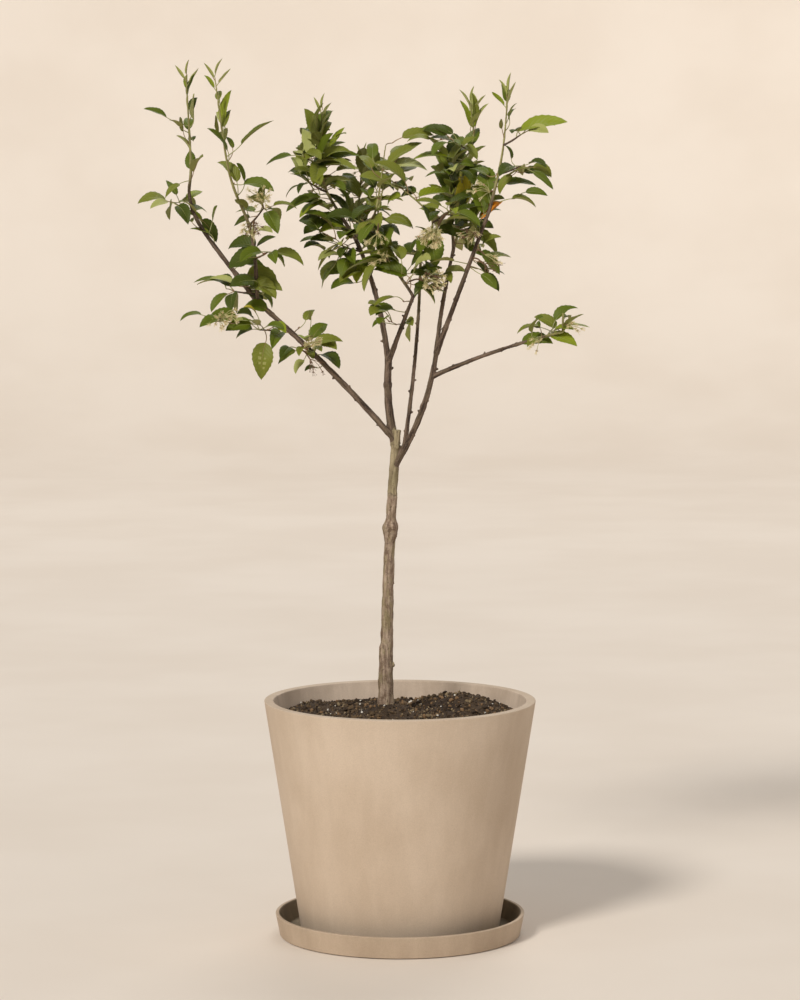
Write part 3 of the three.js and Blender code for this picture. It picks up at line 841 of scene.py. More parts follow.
bough_bark = blend_colours(tree, streaks, paint(50, 37, 30), paint(118, 98, 82))
bough_bark = blend_colours(tree, scaled(tree, patches, 0.4), bough_bark, paint(110, 96, 74))
shoot_bark = blend_colours(tree, streaks, paint(126, 120, 72), paint(164, 160, 104))
wood_colour = blend_colours(tree, thick_wood, bough_bark, old_bark)
wood_colour = blend_colours(tree, thin_wood, wood_colour, shoot_bark)
dark_marks = combine(tree, "MAXIMUM", scaled(tree, pores, 0.5), scaled(tree, cracks, 0.55))
dark_marks = combine(tree, "MAXIMUM", dark_marks, scaled(tree, scar_at, 0.65))
dark_marks = combine(tree, "SUBTRACT", dark_marks, scaled(tree, thin_wood, 0.6))
wood_colour = blend_colours(tree, dark_marks, wood_colour, paint(62, 47, 38))
wood_colour = blend_colours(tree, spread(tree, fine, 0.5, 0.8, 0.0, 0.45), wood_colour, paint(198, 180, 158))
tree.links.new(wood_colour, shader.inputs["Base Color"])
tree.links.new(spread(tree, streaks, 0.0, 1.0, 0.92, 0.7), shader.inputs["Roughness"])
bark_height = combine(tree, "ADD", scaled(tree, streaks, 0.5), scaled(tree, fine, 0.7))
bark_height = combine(tree, "SUBTRACT", bark_height, scaled(tree, dark_marks, 0.8))
add_bump(tree, shader, bark_height, 0.5 * MM, 0.8)
shader.inputs["Specular IOR Level"].default_value = 0.35
bark.data.materials.append(bark_skin)
bpy.ops.object.shade_smooth()
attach(bark, "root")
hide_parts("trunk", *BOUGHS)


# Twigs: short side growth that carries the leaves. They grow in turn towards places inside each
# mass of leaves, from the nearest wood that is there already, so they fork as a crown does.
TWIG_SIDES = 7
twigs = Joined("twigs", [
    plain_material("twig wood", paint(84, 66, 52), 0.75, 700.0, 0.2 * MM),
    plain_material("twig young", paint(112, 96, 64), 0.6, 700.0, 0.1 * MM),
    plain_material("twig green", paint(148, 150, 88), 0.5, 700.0, 0.05 * MM),
    plain_material("bud", paint(122, 82, 58), 0.65, 900.0, 0.1 * MM),
])
TWIG_WOOD, TWIG_YOUNG, TWIG_GREEN, TWIG_BUD = range(4)


def add_rod(joined, points, radii, sides, slot):
    """A closed round rod through the points. The slot is one for all, or one for each stretch."""
    points = np.asarray(points, float)
    forward = np.gradient(points, axis=0)
    forward /= np.maximum(np.linalg.norm(forward, axis=1), 1e-9)[:, None]
    guide = (0.0, 1.0, 0.0) if abs(forward[:, 1]).max() < 0.95 else (1.0, 0.0, 0.0)
    across = np.cross(guide, forward)
    across /= np.linalg.norm(across, axis=1)[:, None]
    back = np.cross(forward, across)
    turns = (np.arange(sides) * 2 * math.pi / sides)[None, :, None]
    ring = np.cos(turns) * across[:, None, :] + np.sin(turns) * back[:, None, :]
    corners = (points[:, None, :] + ring * np.asarray(radii, float)[:, None, None]).reshape(-1, 3)
    faces = []
    slots = []
    for step in range(len(points) - 1):
        for k in range(sides):
            low, next_low = step * sides + k, step * sides + (k + 1) % sides
            faces.append((low, next_low, next_low + sides, low + sides))
            slots.append(slot if isinstance(slot, int) else slot[step])
    faces.append(tuple(range(sides))[::-1])
    faces.append(tuple(range(len(corners) - sides, len(corners))))
    slots += [slots[0], slots[-1]]
    joined.add(corners * MM, faces, slots)


# The mesh of each mass of leaves, asked how far a point lies outside it.
masses = {}
for name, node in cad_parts.items():
    if name.endswith(("_leaves", "_leaf")):
        spots = spots_of(name)
        faces = [face.vertices[:] for face in node.data.polygons]
        shell = BVHTree.FromPolygons([Vector(spot) for spot in spots], faces)
        masses[name] = (shell, spots.min(0), spots.max(0), spots)


def distance_outside(point, margin=12):
    """How far a point lies outside the nearest mass, negative inside it, in mm."""
    nearest_yet = margin
    for shell, low, high, _ in masses.values():
        if (point < low - margin).any() or (point > high + margin).any():
            continue
        found, normal, _, distance = shell.find_nearest(Vector(point))
        side = 1 if (Vector(point) - found).dot(normal) > 0 else -1
        nearest_yet = min(nearest_yet, side * distance)
    return nearest_yet


# How each mass is filled: the number of leaves, their length, how round they are, the mean rise of
# their blades in degrees at the mass's foot and at its top, and how young its greens are, 0 to 1.
FILLING = {
    "left_low_leaves": (10, 36, 0.62, -60, 10, 0.15),
    "left_hanging_leaves": (4, 58, 0.54, -75, -60, 0.3),
    "left_spur_leaves": (6, 40, 0.58, -35, 5, 0.2),
    "left_elbow_leaves": (13, 46, 0.68, -70, -20, 0.1),
    "left_level_leaves": (3, 46, 0.34, -15, 10, 0.2),
    "left_outer_leaves": (11, 42, 0.46, -55, 0, 0.3),
    "left_tip_leaves": (10, 40, 0.48, -25, 30, 0.4),
    "left_blossom_leaves": (9, 42, 0.5, -45, 5, 0.3),
    "left_second_leaves": (11, 44, 0.46, -25, 30, 0.5),
    "centre_left_leaves": (28, 48, 0.56, -65, 0, 0.15),
    "centre_crown_leaves": (52, 54, 0.46, -30, 30, 0.5),
    "centre_leaves": (26, 50, 0.56, -70, -10, 0.15),
    "centre_top_leaves": (22, 52, 0.46, -15, 25, 0.35),
    "centre_front_leaves": (6, 38, 0.62, -75, -50, 0.15),
    "centre_hanging_leaves": (2, 34, 0.62, -75, -70, 0.1),
    "centre_back_leaves": (30, 56, 0.5, -40, 25, 0.3),
    "right_inner_leaves": (24, 48, 0.6, -70, -5, 0.15),
    "right_crown_leaves": (28, 54, 0.46, -25, 25, 0.35),
    "right_back_leaves": (22, 56, 0.5, -40, 25, 0.3),
    "right_leaves": (30, 50, 0.5, -55, 10, 0.25),
    "right_reaching_leaves": (4, 46, 0.46, -30, 10, 0.3),
    "right_upright_leaves": (6, 46, 0.42, 0, 45, 0.6),
    "right_tip_leaves": (5, 34, 0.4, 10, 60, 0.7),
    "right_outer_leaves": (7, 52, 0.48, -45, -10, 0.15),
    "right_low_leaves": (7, 38, 0.5, -60, -20, 0.2),
    "right_side_leaves": (12, 42, 0.5, -55, 25, 0.25),
}
CLOSEST_LEAVES, LEAST_DEPTH, TRIES_FOR_A_SPOT = 15, 2, 60
TOP_KEPT_CLEAR = 0.1
BLOSSOM_CLEARANCE = 20
OVERHANG = 7
# Blossom: how many fans each mass holds, how many flowers in each, how wide, and how many have dried.
BLOSSOM = {
    "left_spur_leaves": (3, 7, 17, 0), "left_low_leaves": (3, 6, 14, 1),
    "left_blossom_leaves": (4, 10, 20, 1),
    "centre_leaves": (2, 8, 14, 0), "right_inner_leaves": (8, 10, 18, 1),
    "right_leaves": (3, 7, 16, 1),
    "right_low_leaves": (2, 5, 12, 1), "right_side_leaves": (2, 7, 15, 0),
    "centre_back_leaves": (2, 7, 16, 1), "right_back_leaves": (2, 7, 16, 0),
}
FAN_DEPTH = 6
BACK_HALF = 80
LEADER_TIPS = ["left_top", "left_second_top", "centre_top", "right_back_top", "right_front_top",
               "back_left_top", "back_right_top"]
grow = random.Random(2306)

wood_points = [points[4:] for name, (points, _) in limbs.items() if name != "trunk"]
wood_radii = [radii[4:] for name, (_, radii) in limbs.items() if name != "trunk"]
wood_points = np.concatenate(wood_points)
wood_radii = np.concatenate(wood_radii)
leafy = np.array([distance_outside(point, 25) < 14 for point in wood_points])
wood_points, wood_radii = wood_points[leafy], wood_radii[leafy]

for name in SPURS:
    points, radii = limbs[name]
    add_rod(twigs, points, radii * [grow.uniform(0.92, 1.2) for _ in radii], TWIG_SIDES, TWIG_WOOD)


def grow_twig(start, end, start_radius):
    """A twig that leaves its parent upwards and bends over to its end. Later growth can start on it."""
    global wood_points, wood_radii
    length = np.linalg.norm(end - start)
    knee = start + (end - start) * 0.5 + np.array((grow.gauss(0, 0.05), grow.gauss(0, 0.05), 0.07)) * length
    points = smooth_line([start, knee, end], 3.5)
    base = min(start_radius * 0.8, 0.9 + length * 0.012)
    radii = np.linspace(base, max(0.6, base * 0.6), len(points))
    add_rod(twigs, points, radii, TWIG_SIDES, TWIG_WOOD if base > 1.2 else TWIG_YOUNG)
    wood_points = np.vstack([wood_points, points[2:]])
    wood_radii = np.concatenate([wood_radii, radii[2:]])


def add_bud(place, outward):
    """A small pointed bud in the angle of a leaf."""
    outward = unit(outward)
    add_rod(twigs, [place, place + outward * 1.6, place + outward * 3.0, place + outward * 4.0],
            [0.9, 1.2, 0.8, 0.15], 6, TWIG_BUD)


# The leaves: oval, pointed and finely toothed, folded a little along the midrib and drooping to the
# tip. Each is a closed blade, green above and greyer beneath, on a long pale stalk that runs on
# along it as the midrib. The greens are dealt out leaf by leaf. One leaf has turned orange, two yellow.
veins, given, made = new_group(
    "leaf_veins", [("Mark", "Vector")], [("Height", "Float"), ("Roughness", "Float")]
)
mark = add_node(veins, "SeparateXYZ", {"Vector": given["Mark"]}).outputs
from_midrib = combine(veins, "ABSOLUTE", combine(veins, "SUBTRACT", mark["X"], 0.5), 0.0)
slant = combine(veins, "SUBTRACT", mark["Y"], scaled(veins, from_midrib, 0.55))
ripple = combine(veins, "SINE", scaled(veins, slant, 2 * math.pi * 9), 0.0)
side_veins = spread(veins, ripple, 0.55, 1.0)
quilting = spread(veins, ripple, -1.0, 0.6, 1.0, 0.0)
veins.links.new(combine(veins, "SUBTRACT", scaled(veins, quilting, 0.6), side_veins), made["Height"])
veins.links.new(spread(veins, side_veins, 0.0, 1.0, 0.5, 0.66), made["Roughness"])


def leaf_material(name, colour, veins_stand, gloss):
    """A leaf's face: one green, with its side veins sunk or standing."""
    material, tree, shader = new_material(name, 0.5)
    shader.inputs["Base Color"].default_value = colour
    surface = add_group(tree, veins, {"Mark": add_node(tree, "UVMap", uv_map="shape").outputs["UV"]})
    tree.links.new(surface["Roughness"], shader.inputs["Roughness"])
    add_bump(tree, shader, surface["Height"], veins_stand, 0.8)
    shader.inputs["Specular IOR Level"].default_value = gloss
    return material


GREENS = [
    ("leaf deep", paint(66, 78, 8), paint(124, 126, 60)),
    ("leaf full", paint(92, 106, 16), paint(142, 146, 76)),
    ("leaf olive", paint(118, 124, 40), paint(156, 156, 90)),
    ("leaf bright", paint(134, 146, 32), paint(164, 170, 90)),
    ("leaf young", paint(166, 170, 96), paint(184, 186, 122)),
    ("leaf turning", paint(186, 172, 40), paint(188, 174, 76)),
    ("leaf orange", paint(232, 142, 34), paint(214, 150, 62)),
]
DEEP, FULL, OLIVE, BRIGHT, YOUNG, TURNING, ORANGE = range(len(GREENS))
leaf_skins = [leaf_material(name, top, 0.22 * MM, 0.32) for name, top, _ in GREENS]
leaf_skins += [leaf_material(name + " underside", under, -0.3 * MM, 0.25) for name, _, under in GREENS]
leaves = Joined("leaves", leaf_skins)
stalks = Joined("leaf_stalks", [
    plain_material("stalk", paint(150, 150, 92), 0.5, 900.0, 0.05 * MM),
    plain_material("stalk rosy", paint(150, 122, 84), 0.5, 900.0, 0.05 * MM),
])
BLADE_STEPS = 8
BLADE_THICKNESS = 0.28
BROADEST, FOOT_FULLNESS, TIP_FULLNESS = 0.387, 0.58, 0.92
BLADE_ARCH = 0.1
TOOTH_DEPTH = 0.075
LIGHT_FROM = (-0.35, -0.8, 0.7)
TURN_TO_LIGHT = 0.6
# Leaves further back than the first of these, in mm, turn less to the front, over the second.
TURNING_AWAY, TURNING_AWAY_OVER = 60, 80
STALK_RADII, MIDRIB_RADII = (0.85, 0.6), (0.5, 0.2)
STALK_SIDES, STALK_BENDS, STALK_KNEE, ROSY_STALKS = 5, 5, 0.45, 0.3
blade_middles = []


def blade_half_width(share, width):
    """Half the blade's width at a share of its length: broad below the middle, drawn out to the tip."""
    shape = share**FOOT_FULLNESS * (1 - share) ** TIP_FULLNESS
    return 0.5 * width * shape / (BROADEST**FOOT_FULLNESS * (1 - BROADEST) ** TIP_FULLNESS)


def add_leaf(root, heel, bearing, rise, length, roundness, green, fold=None, curl=None):
    """A leaf whose stalk leaves the wood at root and meets the blade at heel. Sizes are in mm."""
    width = length * roundness
    fold = math.radians(grow.uniform(8, 30)) if fold is None else fold
    curl = math.radians(grow.uniform(25, 75)) if curl is None else curl
    sway = math.radians(grow.gauss(0, 14))
    side = np.array([-math.sin(bearing), math.cos(bearing), 0.0])
    up = np.cross(heading(bearing, rise), side)
    facing = min(1, max(-0.6, 1 - max(0, heel[1] - TURNING_AWAY) / TURNING_AWAY_OVER))
    light = np.array(LIGHT_FROM) * (1, facing, 1)
    roll = TURN_TO_LIGHT * math.atan2(-(light @ side), light @ up) + math.radians(grow.gauss(0, 15))
    twist = math.radians(grow.gauss(0, 12))
    wave, wave_phase = grow.uniform(0.02, 0.09), grow.uniform(0, 6.3)
    stations = 2 * BLADE_STEPS
    middle = np.array(heel, float)
    line = []
    frames = []
    for k in range(stations + 1):
        share = k / stations
        turn, pitch = bearing + sway * (share - 0.5), rise + curl * (0.5 - share)
        along = heading(turn, pitch)
        side = np.array([-math.sin(turn), math.cos(turn), 0.0])
        up = np.cross(along, side)
        lean = roll + twist * (share - 0.5)
        side, up = side * math.cos(lean) + up * math.sin(lean), up * math.cos(lean) - side * math.sin(lean)
        line.append(middle.copy())
        frames.append((along, side, up))
        middle = middle + along * (length / stations)
    blade_middles.append(line[BLADE_STEPS])
    corners, marks = [], []

    def corner_at(k, across, lift=0.0):
        share = k / stations
        along, side, up = frames[k]
        half = max(0.25, blade_half_width(share, width))
        if abs(across) == 1 and k % 2:
            half *= 1 - TOOTH_DEPTH
        ripple = wave * half * math.sin(9 * share + wave_phase + (1.7 if across > 0 else 0)) * abs(across)
        arch = BLADE_ARCH * half * (1 - (2 * abs(across) - 1) ** 2)
        rise_here = abs(across) * half * math.sin(fold) + ripple + arch + lift
        corners.append(line[k] + side * (across * half * math.cos(fold)) + up * rise_here)
        marks.append((0.5 + across / 2, share))
        return len(corners) - 1

    edges = {way: [None, *(corner_at(k, way) for k in range(1, stations)), None] for way in (-1, 1)}
    sheets = {}
    for sheet in (1, -1):
        rows = {across: [] for across in (-0.5, 0, 0.5)}
        for step in range(BLADE_STEPS + 1):
            for across, row in rows.items():
                if sheet < 0 and step in (0, BLADE_STEPS):
                    row.append(sheets[1][across][step])
                else:
                    thick = 0 if step in (0, BLADE_STEPS) else sheet * BLADE_THICKNESS / 2
                    row.append(corner_at(2 * step, across, thick))
        sheets[sheet] = rows
    faces, slots = [], []
    for sheet, rows in sheets.items():
        slot = green if sheet > 0 else green + len(GREENS)
        for way in (-1, 1):
            for step in range(BLADE_STEPS):
                inner, inner_next = rows[0][step], rows[0][step + 1]
                half, half_next = rows[way / 2][step], rows[way / 2][step + 1]
                edge, notch, edge_next = edges[way][2 * step : 2 * step + 3]
                for face in ((inner, inner_next, half_next, half), (half, half_next, notch),
                             (half, notch, edge), (half_next, edge_next, notch)):
                    if None in face:
                        continue
                    faces.append(face if way * sheet > 0 else face[::-1])
                    slots.append(slot)
    leaves.add(np.array(corners) * MM, faces, slots, marks)

    gap = np.linalg.norm(line[0] - root)
    stalk = bent_line(root, line[0] - frames[0][0] * gap * STALK_KNEE, line[0], STALK_BENDS)
    midrib = [line[k] - frames[k][2] * 0.05 for k in range(2, stations - 1, 2)]
    points = np.vstack([stalk, midrib])
    radii = np.concatenate([
        np.linspace(*STALK_RADII, len(stalk)), np.linspace(*MIDRIB_RADII, len(midrib))
    ])
    add_rod(stalks, points, radii * (0.75 + length / 200), STALK_SIDES, int(grow.random() < ROSY_STALKS))


# The leaves that have turned, by the spray that they are in.
TURNED = {"right_back_leaves": (TURNING,), "right_leaves": (ORANGE,), "left_spur_leaves": (TURNING,)}


def dealt_green(mass, number, young):
    """A green for a leaf, paler in a young spray. The first leaves of some sprays have turned."""
    turned = TURNED.get(mass, ())
    if number < len(turned):
        return turned[number]
    weights = (26 * (1 - young), 40 - 16 * young, 24, 8 + 14 * young, 34 * young**2 + 2)
    return grow.choices((DEEP, FULL, OLIVE, BRIGHT, YOUNG), weights)[0]


def fits(heel, bearing, rise, length, width):
    """How far the blade's tip and sides stand outside the masses."""
    along = heading(bearing, rise)
    side = np.array([-math.sin(bearing), math.cos(bearing), 0.0]) * width * 0.4
    middle = heel + along * length * 0.45
    probes = (heel + along * length * 0.97, middle + side, middle - side)
    return max(distance_outside(probe) for probe in probes)


# The middle of each fan of blossom: just inside the front of its mass, or the back of a mass behind.
blossom_fans = []
for name, (fans, flowers, width, dried) in BLOSSOM.items():
    shell, low, high, spots = masses[name]
    behind = (low[1] + high[1]) / 2 > BACK_HALF
    for k in range(fans):
        side = grow.uniform(0.25, 0.75)
        height = (k + grow.uniform(0.35, 0.65)) / fans
        start = np.array([low[0] + side * (high[0] - low[0]), high[1] + 50 if behind else low[1] - 50,
                          low[2] + height * (high[2] - low[2])])
        found = shell.find_nearest(Vector(start))[0]
        middle = np.array(found) + unit(spots.mean(0) - found) * FAN_DEPTH
        blossom_fans.append((middle, flowers, width * grow.uniform(0.85, 1.15), k < dried))

targets = []
for name, (count, length, roundness, low_rise, top_rise, young) in FILLING.items():
    shell, low, high, _ = masses[name]
    below_top = high - (0, 0, TOP_KEPT_CLEAR * (high[2] - low[2]))
    spots = []
    taken = [middle for middle in blade_middles if distance_outside(middle) < 12]
    fans = [fan[0] for fan in blossom_fans]
    for _ in range(count * TRIES_FOR_A_SPOT):
        spot = np.array([grow.uniform(a, b) for a, b in zip(low, below_top)])
        found, normal, _, distance = shell.find_nearest(Vector(spot))
        free = (Vector(spot) - found).dot(normal) < 0 and distance > LEAST_DEPTH
        free = free and all(np.linalg.norm(spot - other) > CLOSEST_LEAVES for other in spots + taken)
        if free and all(np.linalg.norm(spot - fan) > BLOSSOM_CLEARANCE for fan in fans):
            spots.append(spot)
        if len(spots) == count:
            break
    for spot in spots:
        share = (spot[2] - low[2]) / (high[2] - low[2])
        rise = math.radians(low_rise + (top_rise - low_rise) * share)
        size, plumpness = length * grow.uniform(0.65, 1.2), roundness * grow.uniform(0.85, 1.15)
        targets.append((name, spot, size, plumpness, rise, young))
targets.sort(key=lambda target: np.linalg.norm(wood_points - target[1], axis=1).min())

STALK_LENGTH = 15
LONGEST_STALK = 27
MOST_MISFIT = 12
MISFIT_OF_BENDING = 12
ROSETTE, ROSETTE_TURN, ROSETTE_OVERHANG = 4, 62, 14
ROSETTE_LENGTH, ROSETTE_RISE, ROSETTE_STALK = (30, 46), (-55, 15), (9, 18)
STALK_LIFT = math.radians(25)
ATTEMPTS = 26


def leaf_misfit(root, heel, bearing, rise, length, roundness):
    """How badly a leaf sits: outside the masses, on too long or short a stalk, or bent back on it."""
    stalk = heel - root
    reach = np.linalg.norm(stalk)
    backwards = 1 - stalk @ heading(bearing, rise) / max(reach, 1)
    outside = max(0, fits(heel, bearing, rise, length, length * roundness) - OVERHANG)
    bent_back = MISFIT_OF_BENDING * max(0, backwards - 0.35)
    return outside + 0.5 * max(0, reach - LONGEST_STALK) + 0.5 * max(0, 6 - reach) + bent_back


root_choice = np.random.default_rng(2306)
placed = {name: 0 for name in FILLING}
for name, spot, length, roundness, mean_rise, young in targets:
    gaps = np.linalg.norm(wood_points - spot, axis=1)
    wanted = length * 0.5 + STALK_LENGTH
    if gaps.min() > wanted + 8:
        index = (gaps + 0.3 * np.maximum(0, wood_points[:, 2] - spot[2])).argmin()
        stop = spot + (wood_points[index] - spot) * (wanted / gaps[index])
        grow_twig(wood_points[index], stop, wood_radii[index])
        gaps = np.linalg.norm(wood_points - spot, axis=1)
    best = None
    for attempt in range(ATTEMPTS):
        liking = np.abs(gaps - wanted) + 0.25 * np.maximum(0, wood_points[:, 2] - spot[2] - 10)
        root = wood_points[(liking + root_choice.uniform(0, 6, len(gaps))).argmin()]
        away = spot - root
        bearing = math.atan2(away[1], away[0]) + grow.gauss(0, 0.25 + 0.06 * attempt)
        rise = 0.55 * mean_rise + 0.45 * math.asin(away[2] / np.linalg.norm(away)) + grow.gauss(0, 0.22)
        blade_length = length * (1 - 0.012 * attempt)
        heel = spot - heading(bearing, rise) * blade_length * 0.5
        misfit = leaf_misfit(root, heel, bearing, rise, blade_length, roundness)
        if best is None or misfit < best[0]:
            best = (misfit, root, heel, bearing, rise, blade_length)
        if misfit == 0:
            break
    misfit, root, heel, bearing, rise, blade_length = best
    if misfit > MOST_MISFIT:
        continue
    add_leaf(root, heel, bearing, rise, blade_length, roundness, dealt_green(name, placed[name], young))
    placed[name] += 1
    if grow.random() < 0.5:
        add_bud(root, heel - root + np.array((0, 0, 6)))

# A spur ends in a rosette: leaves on long stalks, each turned on from the last.
for name, (_, _, _, bearing, _) in SPURS.items():
    tip = limbs[name][0][-1]
    for k in range(ROSETTE):
        turn = math.radians(bearing + (k - (ROSETTE - 1) / 2) * ROSETTE_TURN + grow.gauss(0, 12))
        rise = math.radians(grow.uniform(*ROSETTE_RISE))
        length = grow.uniform(*ROSETTE_LENGTH)
        heel = tip + heading(turn, min(rise + STALK_LIFT, 1.2)) * grow.uniform(*ROSETTE_STALK)
        if fits(heel, turn, rise, length, length * 0.5) < ROSETTE_OVERHANG:
            add_leaf(tip, heel, turn, rise, length, grow.uniform(0.44, 0.6), dealt_green(name, 0, 0.2))

# Masses of one leaf: its heel is at the end of the mass nearest to the wood, its tip at the other.
for name, green, roundness in (("left_end_leaf", FULL, 0.5), ("left_inner_leaf", FULL, 0.42),
                               ("right_far_leaf", BRIGHT, 0.44)):
    spots = masses[name][3]
    middle = spots.mean(0)
    reach = spots - middle
    axis = np.linalg.svd(reach, full_matrices=False)[2][0]
    ends = [middle + axis * (reach @ axis).min(), middle + axis * (reach @ axis).max()]
    ends.sort(key=lambda end: np.linalg.norm(wood_points - end, axis=1).min())
    heel, tip = ends
    away = tip - heel
    length = np.linalg.norm(away)
    root = wood_points[np.linalg.norm(wood_points - (heel - (0, 0, 14)), axis=1).argmin()]
    add_leaf(root, heel, math.atan2(away[1], away[0]), math.asin(away[2] / length), length * 1.02, roundness,
             green, fold=math.radians(22), curl=math.radians(24))

# Each leader ends in a tuft of young leaves, narrow, pale and still half folded.
TUFT, TUFT_TURN, TUFT_LENGTH, TUFT_ROUNDNESS = 4, math.radians(144), (20, 27), 0.3
TUFT_RISE, TUFT_OPENING, TUFT_FOLD, TUFT_GAP = 78, 14, math.radians(50), 3
for name in LEADER_TIPS:
    points = limbs[name][0]
    for k in range(TUFT):
        bearing = k * TUFT_TURN + grow.uniform(0, 1)
        rise = math.radians(TUFT_RISE - TUFT_OPENING * k + grow.gauss(0, 5))
        length = grow.uniform(*TUFT_LENGTH) + 3 * k
        root = points[-1 - TUFT_GAP * k]
        heel = root + heading(bearing, rise) * (3 + 1.5 * k)
        add_leaf(root, heel, bearing, rise, length, TUFT_ROUNDNESS, YOUNG if k < 3 else BRIGHT,
                 fold=TUFT_FOLD, curl=math.radians(grow.uniform(-10, 30)))

twigs.build(50, "bark")
leaves.build(62, "leaves", *masses)
stalks.build(60, "leaves")


# Spent blossom: fans of thin stalks from the spurs, each with a small green cup, five turned-back
# sepals and a cream tuft of threads where the petals fell. The oldest have dried brown.
blossom = Joined("blossom", [
    plain_material("blossom cream", paint(226, 212, 168), 0.7, 1500.0, 0.1 * MM),
    plain_material("blossom green", paint(178, 172, 116), 0.6, 1500.0, 0.1 * MM),
    plain_material("blossom dry", paint(112, 86, 62), 0.85, 1500.0, 0.15 * MM),
    plain_material("blossom rosy", paint(190, 148, 120), 0.7, 1500.0, 0.1 * MM),
])
CREAM, PALE, DRY, ROSY = range(4)
SEPALS, THREADS, DRIED_THREADS = 5, 9, 4
STALK_SAG, THREAD_LENGTH, SEPAL_DROOP = (0.02, 0.16), (2.4, 4.6), (0.4, 2.0)
LONGEST_FLOWER_STALK, SHORTEST_FLOWER_STALK = 20, 16


def add_flower(root, place, dried):
    """One spent flower on its stalk."""
    root, place = np.array(root, float), np.array(place, float)
    away = place - root
    length = np.linalg.norm(away)
    sag = np.array((0, 0, length * grow.uniform(*STALK_SAG)))
    stalk = [root, root + away * 0.35 + sag, root + away * 0.7 + sag, place]
    skin, tuft = (DRY, DRY) if dried else (PALE, CREAM)
    add_rod(blossom, stalk, [0.5, 0.42, 0.42, 0.55], 5, skin)
    ahead = unit(place - stalk[2])
    cup = [place, place + ahead * 1.0, place + ahead * 2.2]
    add_rod(blossom, cup, [0.5, 1.1, 0.95], 6, skin if grow.random() < 0.7 else (DRY if dried else ROSY))
    side = unit(np.cross(ahead, (0.31, 0.2, 0.93)))
    up = np.cross(side, ahead)
    mouth = cup[-1]
    for k in range(SEPALS):
        turn = 2 * math.pi * k / SEPALS + grow.uniform(-0.2, 0.2)
        out = side * math.cos(turn) + up * math.sin(turn)
        flank = np.cross(ahead, out) * 0.6
        bend, end = mouth + out * 1.7 + ahead * 0.3, mouth + out * 3.3 - ahead * grow.uniform(*SEPAL_DROOP)
        corners = [mouth + out + flank, mouth + out - flank, bend + flank * 0.9, bend - flank * 0.9, end,
                   bend - ahead * 0.4]
        faces = [(0, 1, 3, 2), (2, 3, 4), (1, 0, 5), (0, 2, 5), (3, 1, 5), (2, 4, 5), (4, 3, 5)]
        blossom.add(np.array(corners) * MM, faces, skin)
    for _ in range(DRIED_THREADS if dried else THREADS):
        out = side * grow.gauss(0, 0.5) + up * grow.gauss(0, 0.5)
        tip = mouth + (ahead + out) * grow.uniform(*THREAD_LENGTH)
        add_rod(blossom, [mouth + out, tip], [0.22, 0.18], 3, tuft)
        add_rod(blossom, [tip, tip + ahead * 0.7, tip + ahead * 1.3], [0.2, 0.45, 0.15], 4, tuft)


for middle, count, width, dried in blossom_fans:
    reach = np.linalg.norm(wood_points - middle, axis=1)
    near = wood_points[reach.argmin()]
    gap = reach.min()
    if gap > LONGEST_FLOWER_STALK:
        stop = middle + (near - middle) * (SHORTEST_FLOWER_STALK / gap)
        points = smooth_line([near, (near + stop) / 2 + (0, 0, 3), stop], 3.0)
        add_rod(blossom, points, np.linspace(1.3, 0.9, len(points)), 6, DRY)
        near = stop
    for _ in range(count):
        scatter = np.array([grow.gauss(0, 1) for _ in range(3)])
        scatter *= width * grow.uniform(0.45, 1.0) / np.linalg.norm(scatter)
        add_flower(near, middle + scatter * (1, 0.8, 0.8), dried)
blossom.build(40, "leaves")


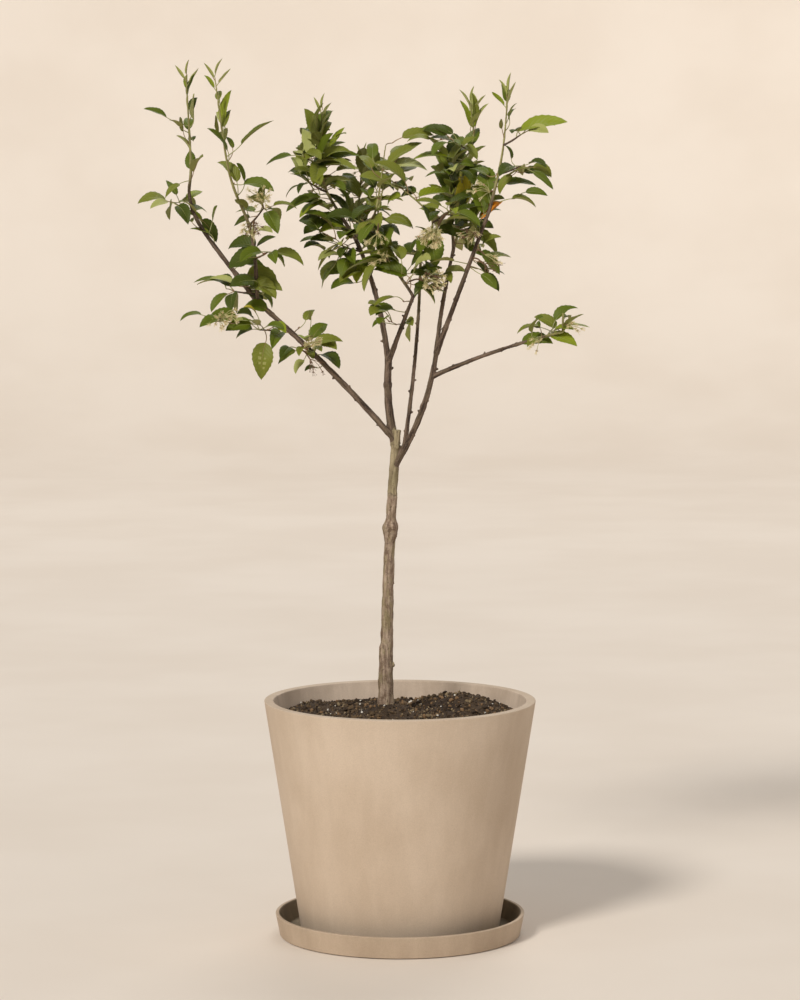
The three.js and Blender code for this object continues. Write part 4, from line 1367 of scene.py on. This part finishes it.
# The floor is a plain pale sheet that curves up into a wall a long way off on every side, under soft
# light from three sides: the main light high on the left in front, the others on the right and behind.
FLOOR_RADIUS = 7.5
COVE_RADIUS = 3.0
COVE_STEPS = 10
FLOOR_SIDES = 96
start_piece()
bpy.ops.mesh.primitive_circle_add(vertices=FLOOR_SIDES, radius=FLOOR_RADIUS, fill_type="NGON")
floor = bpy.context.object
floor.name = "floor"
bpy.ops.object.mode_set(mode="EDIT")
bpy.ops.mesh.select_mode(type="EDGE")
bpy.ops.mesh.select_all(action="SELECT")
reach, rise = FLOOR_RADIUS, 0.0
for step in range(1, COVE_STEPS + 1):
    turn = math.pi / 2 * step / COVE_STEPS
    next_reach = FLOOR_RADIUS + COVE_RADIUS * math.sin(turn)
    next_rise = COVE_RADIUS * (1 - math.cos(turn))
    bpy.ops.mesh.extrude_edges_move(TRANSFORM_OT_translate={"value": (0, 0, next_rise - rise)})
    wider = next_reach / reach
    bpy.ops.transform.resize(value=(wider, wider, 1), center_override=(0, 0, next_rise))
    reach, rise = next_reach, next_rise
bpy.ops.object.mode_set(mode="OBJECT")
bpy.ops.object.shade_smooth()
floor_skin, tree, shader = new_material("floor", 0.9)
tone = spread(tree, noise_in(tree, object_place(tree), 1.6, 3.0), 0.3, 0.7)
floor_colour = blend_colours(tree, tone, paint(226, 215, 203), paint(231, 221, 210))
tree.links.new(floor_colour, shader.inputs["Base Color"])
floor.data.materials.append(floor_skin)

# Lamps: where each stands off, in degrees round from the front towards the right, how high in
# degrees, how strong, how soft in degrees, and its tint.
LAMPS = [
    ("key lamp", -32, 36, 2.2, 13, (1.0, 0.96, 0.9)),
    ("fill lamp", 58, 22, 0.3, 40, (0.97, 0.98, 1.0)),
    ("back lamp", 168, 44, 0.7, 30, (1.0, 0.98, 0.95)),
]
LAMP_DISTANCE = 3
AROUND_TINT, AROUND_STRENGTH = (1.0, 0.97, 0.93, 1.0), 0.33
for name, turn, rise, strength, softness, tint in LAMPS:
    turn, rise = math.radians(turn), math.radians(rise)
    towards = Vector((math.sin(turn) * math.cos(rise), -math.cos(turn) * math.cos(rise), math.sin(rise)))
    bpy.ops.object.light_add(type="SUN", location=towards * LAMP_DISTANCE)
    lamp = bpy.context.object
    lamp.name = name
    lamp.data.energy = strength
    lamp.data.angle = math.radians(softness)
    lamp.data.color = tint
    lamp.rotation_euler = towards.to_track_quat("Z", "Y").to_euler()
world = bpy.data.worlds.new("studio")
world.use_nodes = True
around = world.node_tree.nodes["Background"].inputs
around["Color"].default_value = AROUND_TINT
around["Strength"].default_value = AROUND_STRENGTH
bpy.context.scene.world = world
bpy.context.scene.view_settings.view_transform = "Standard"
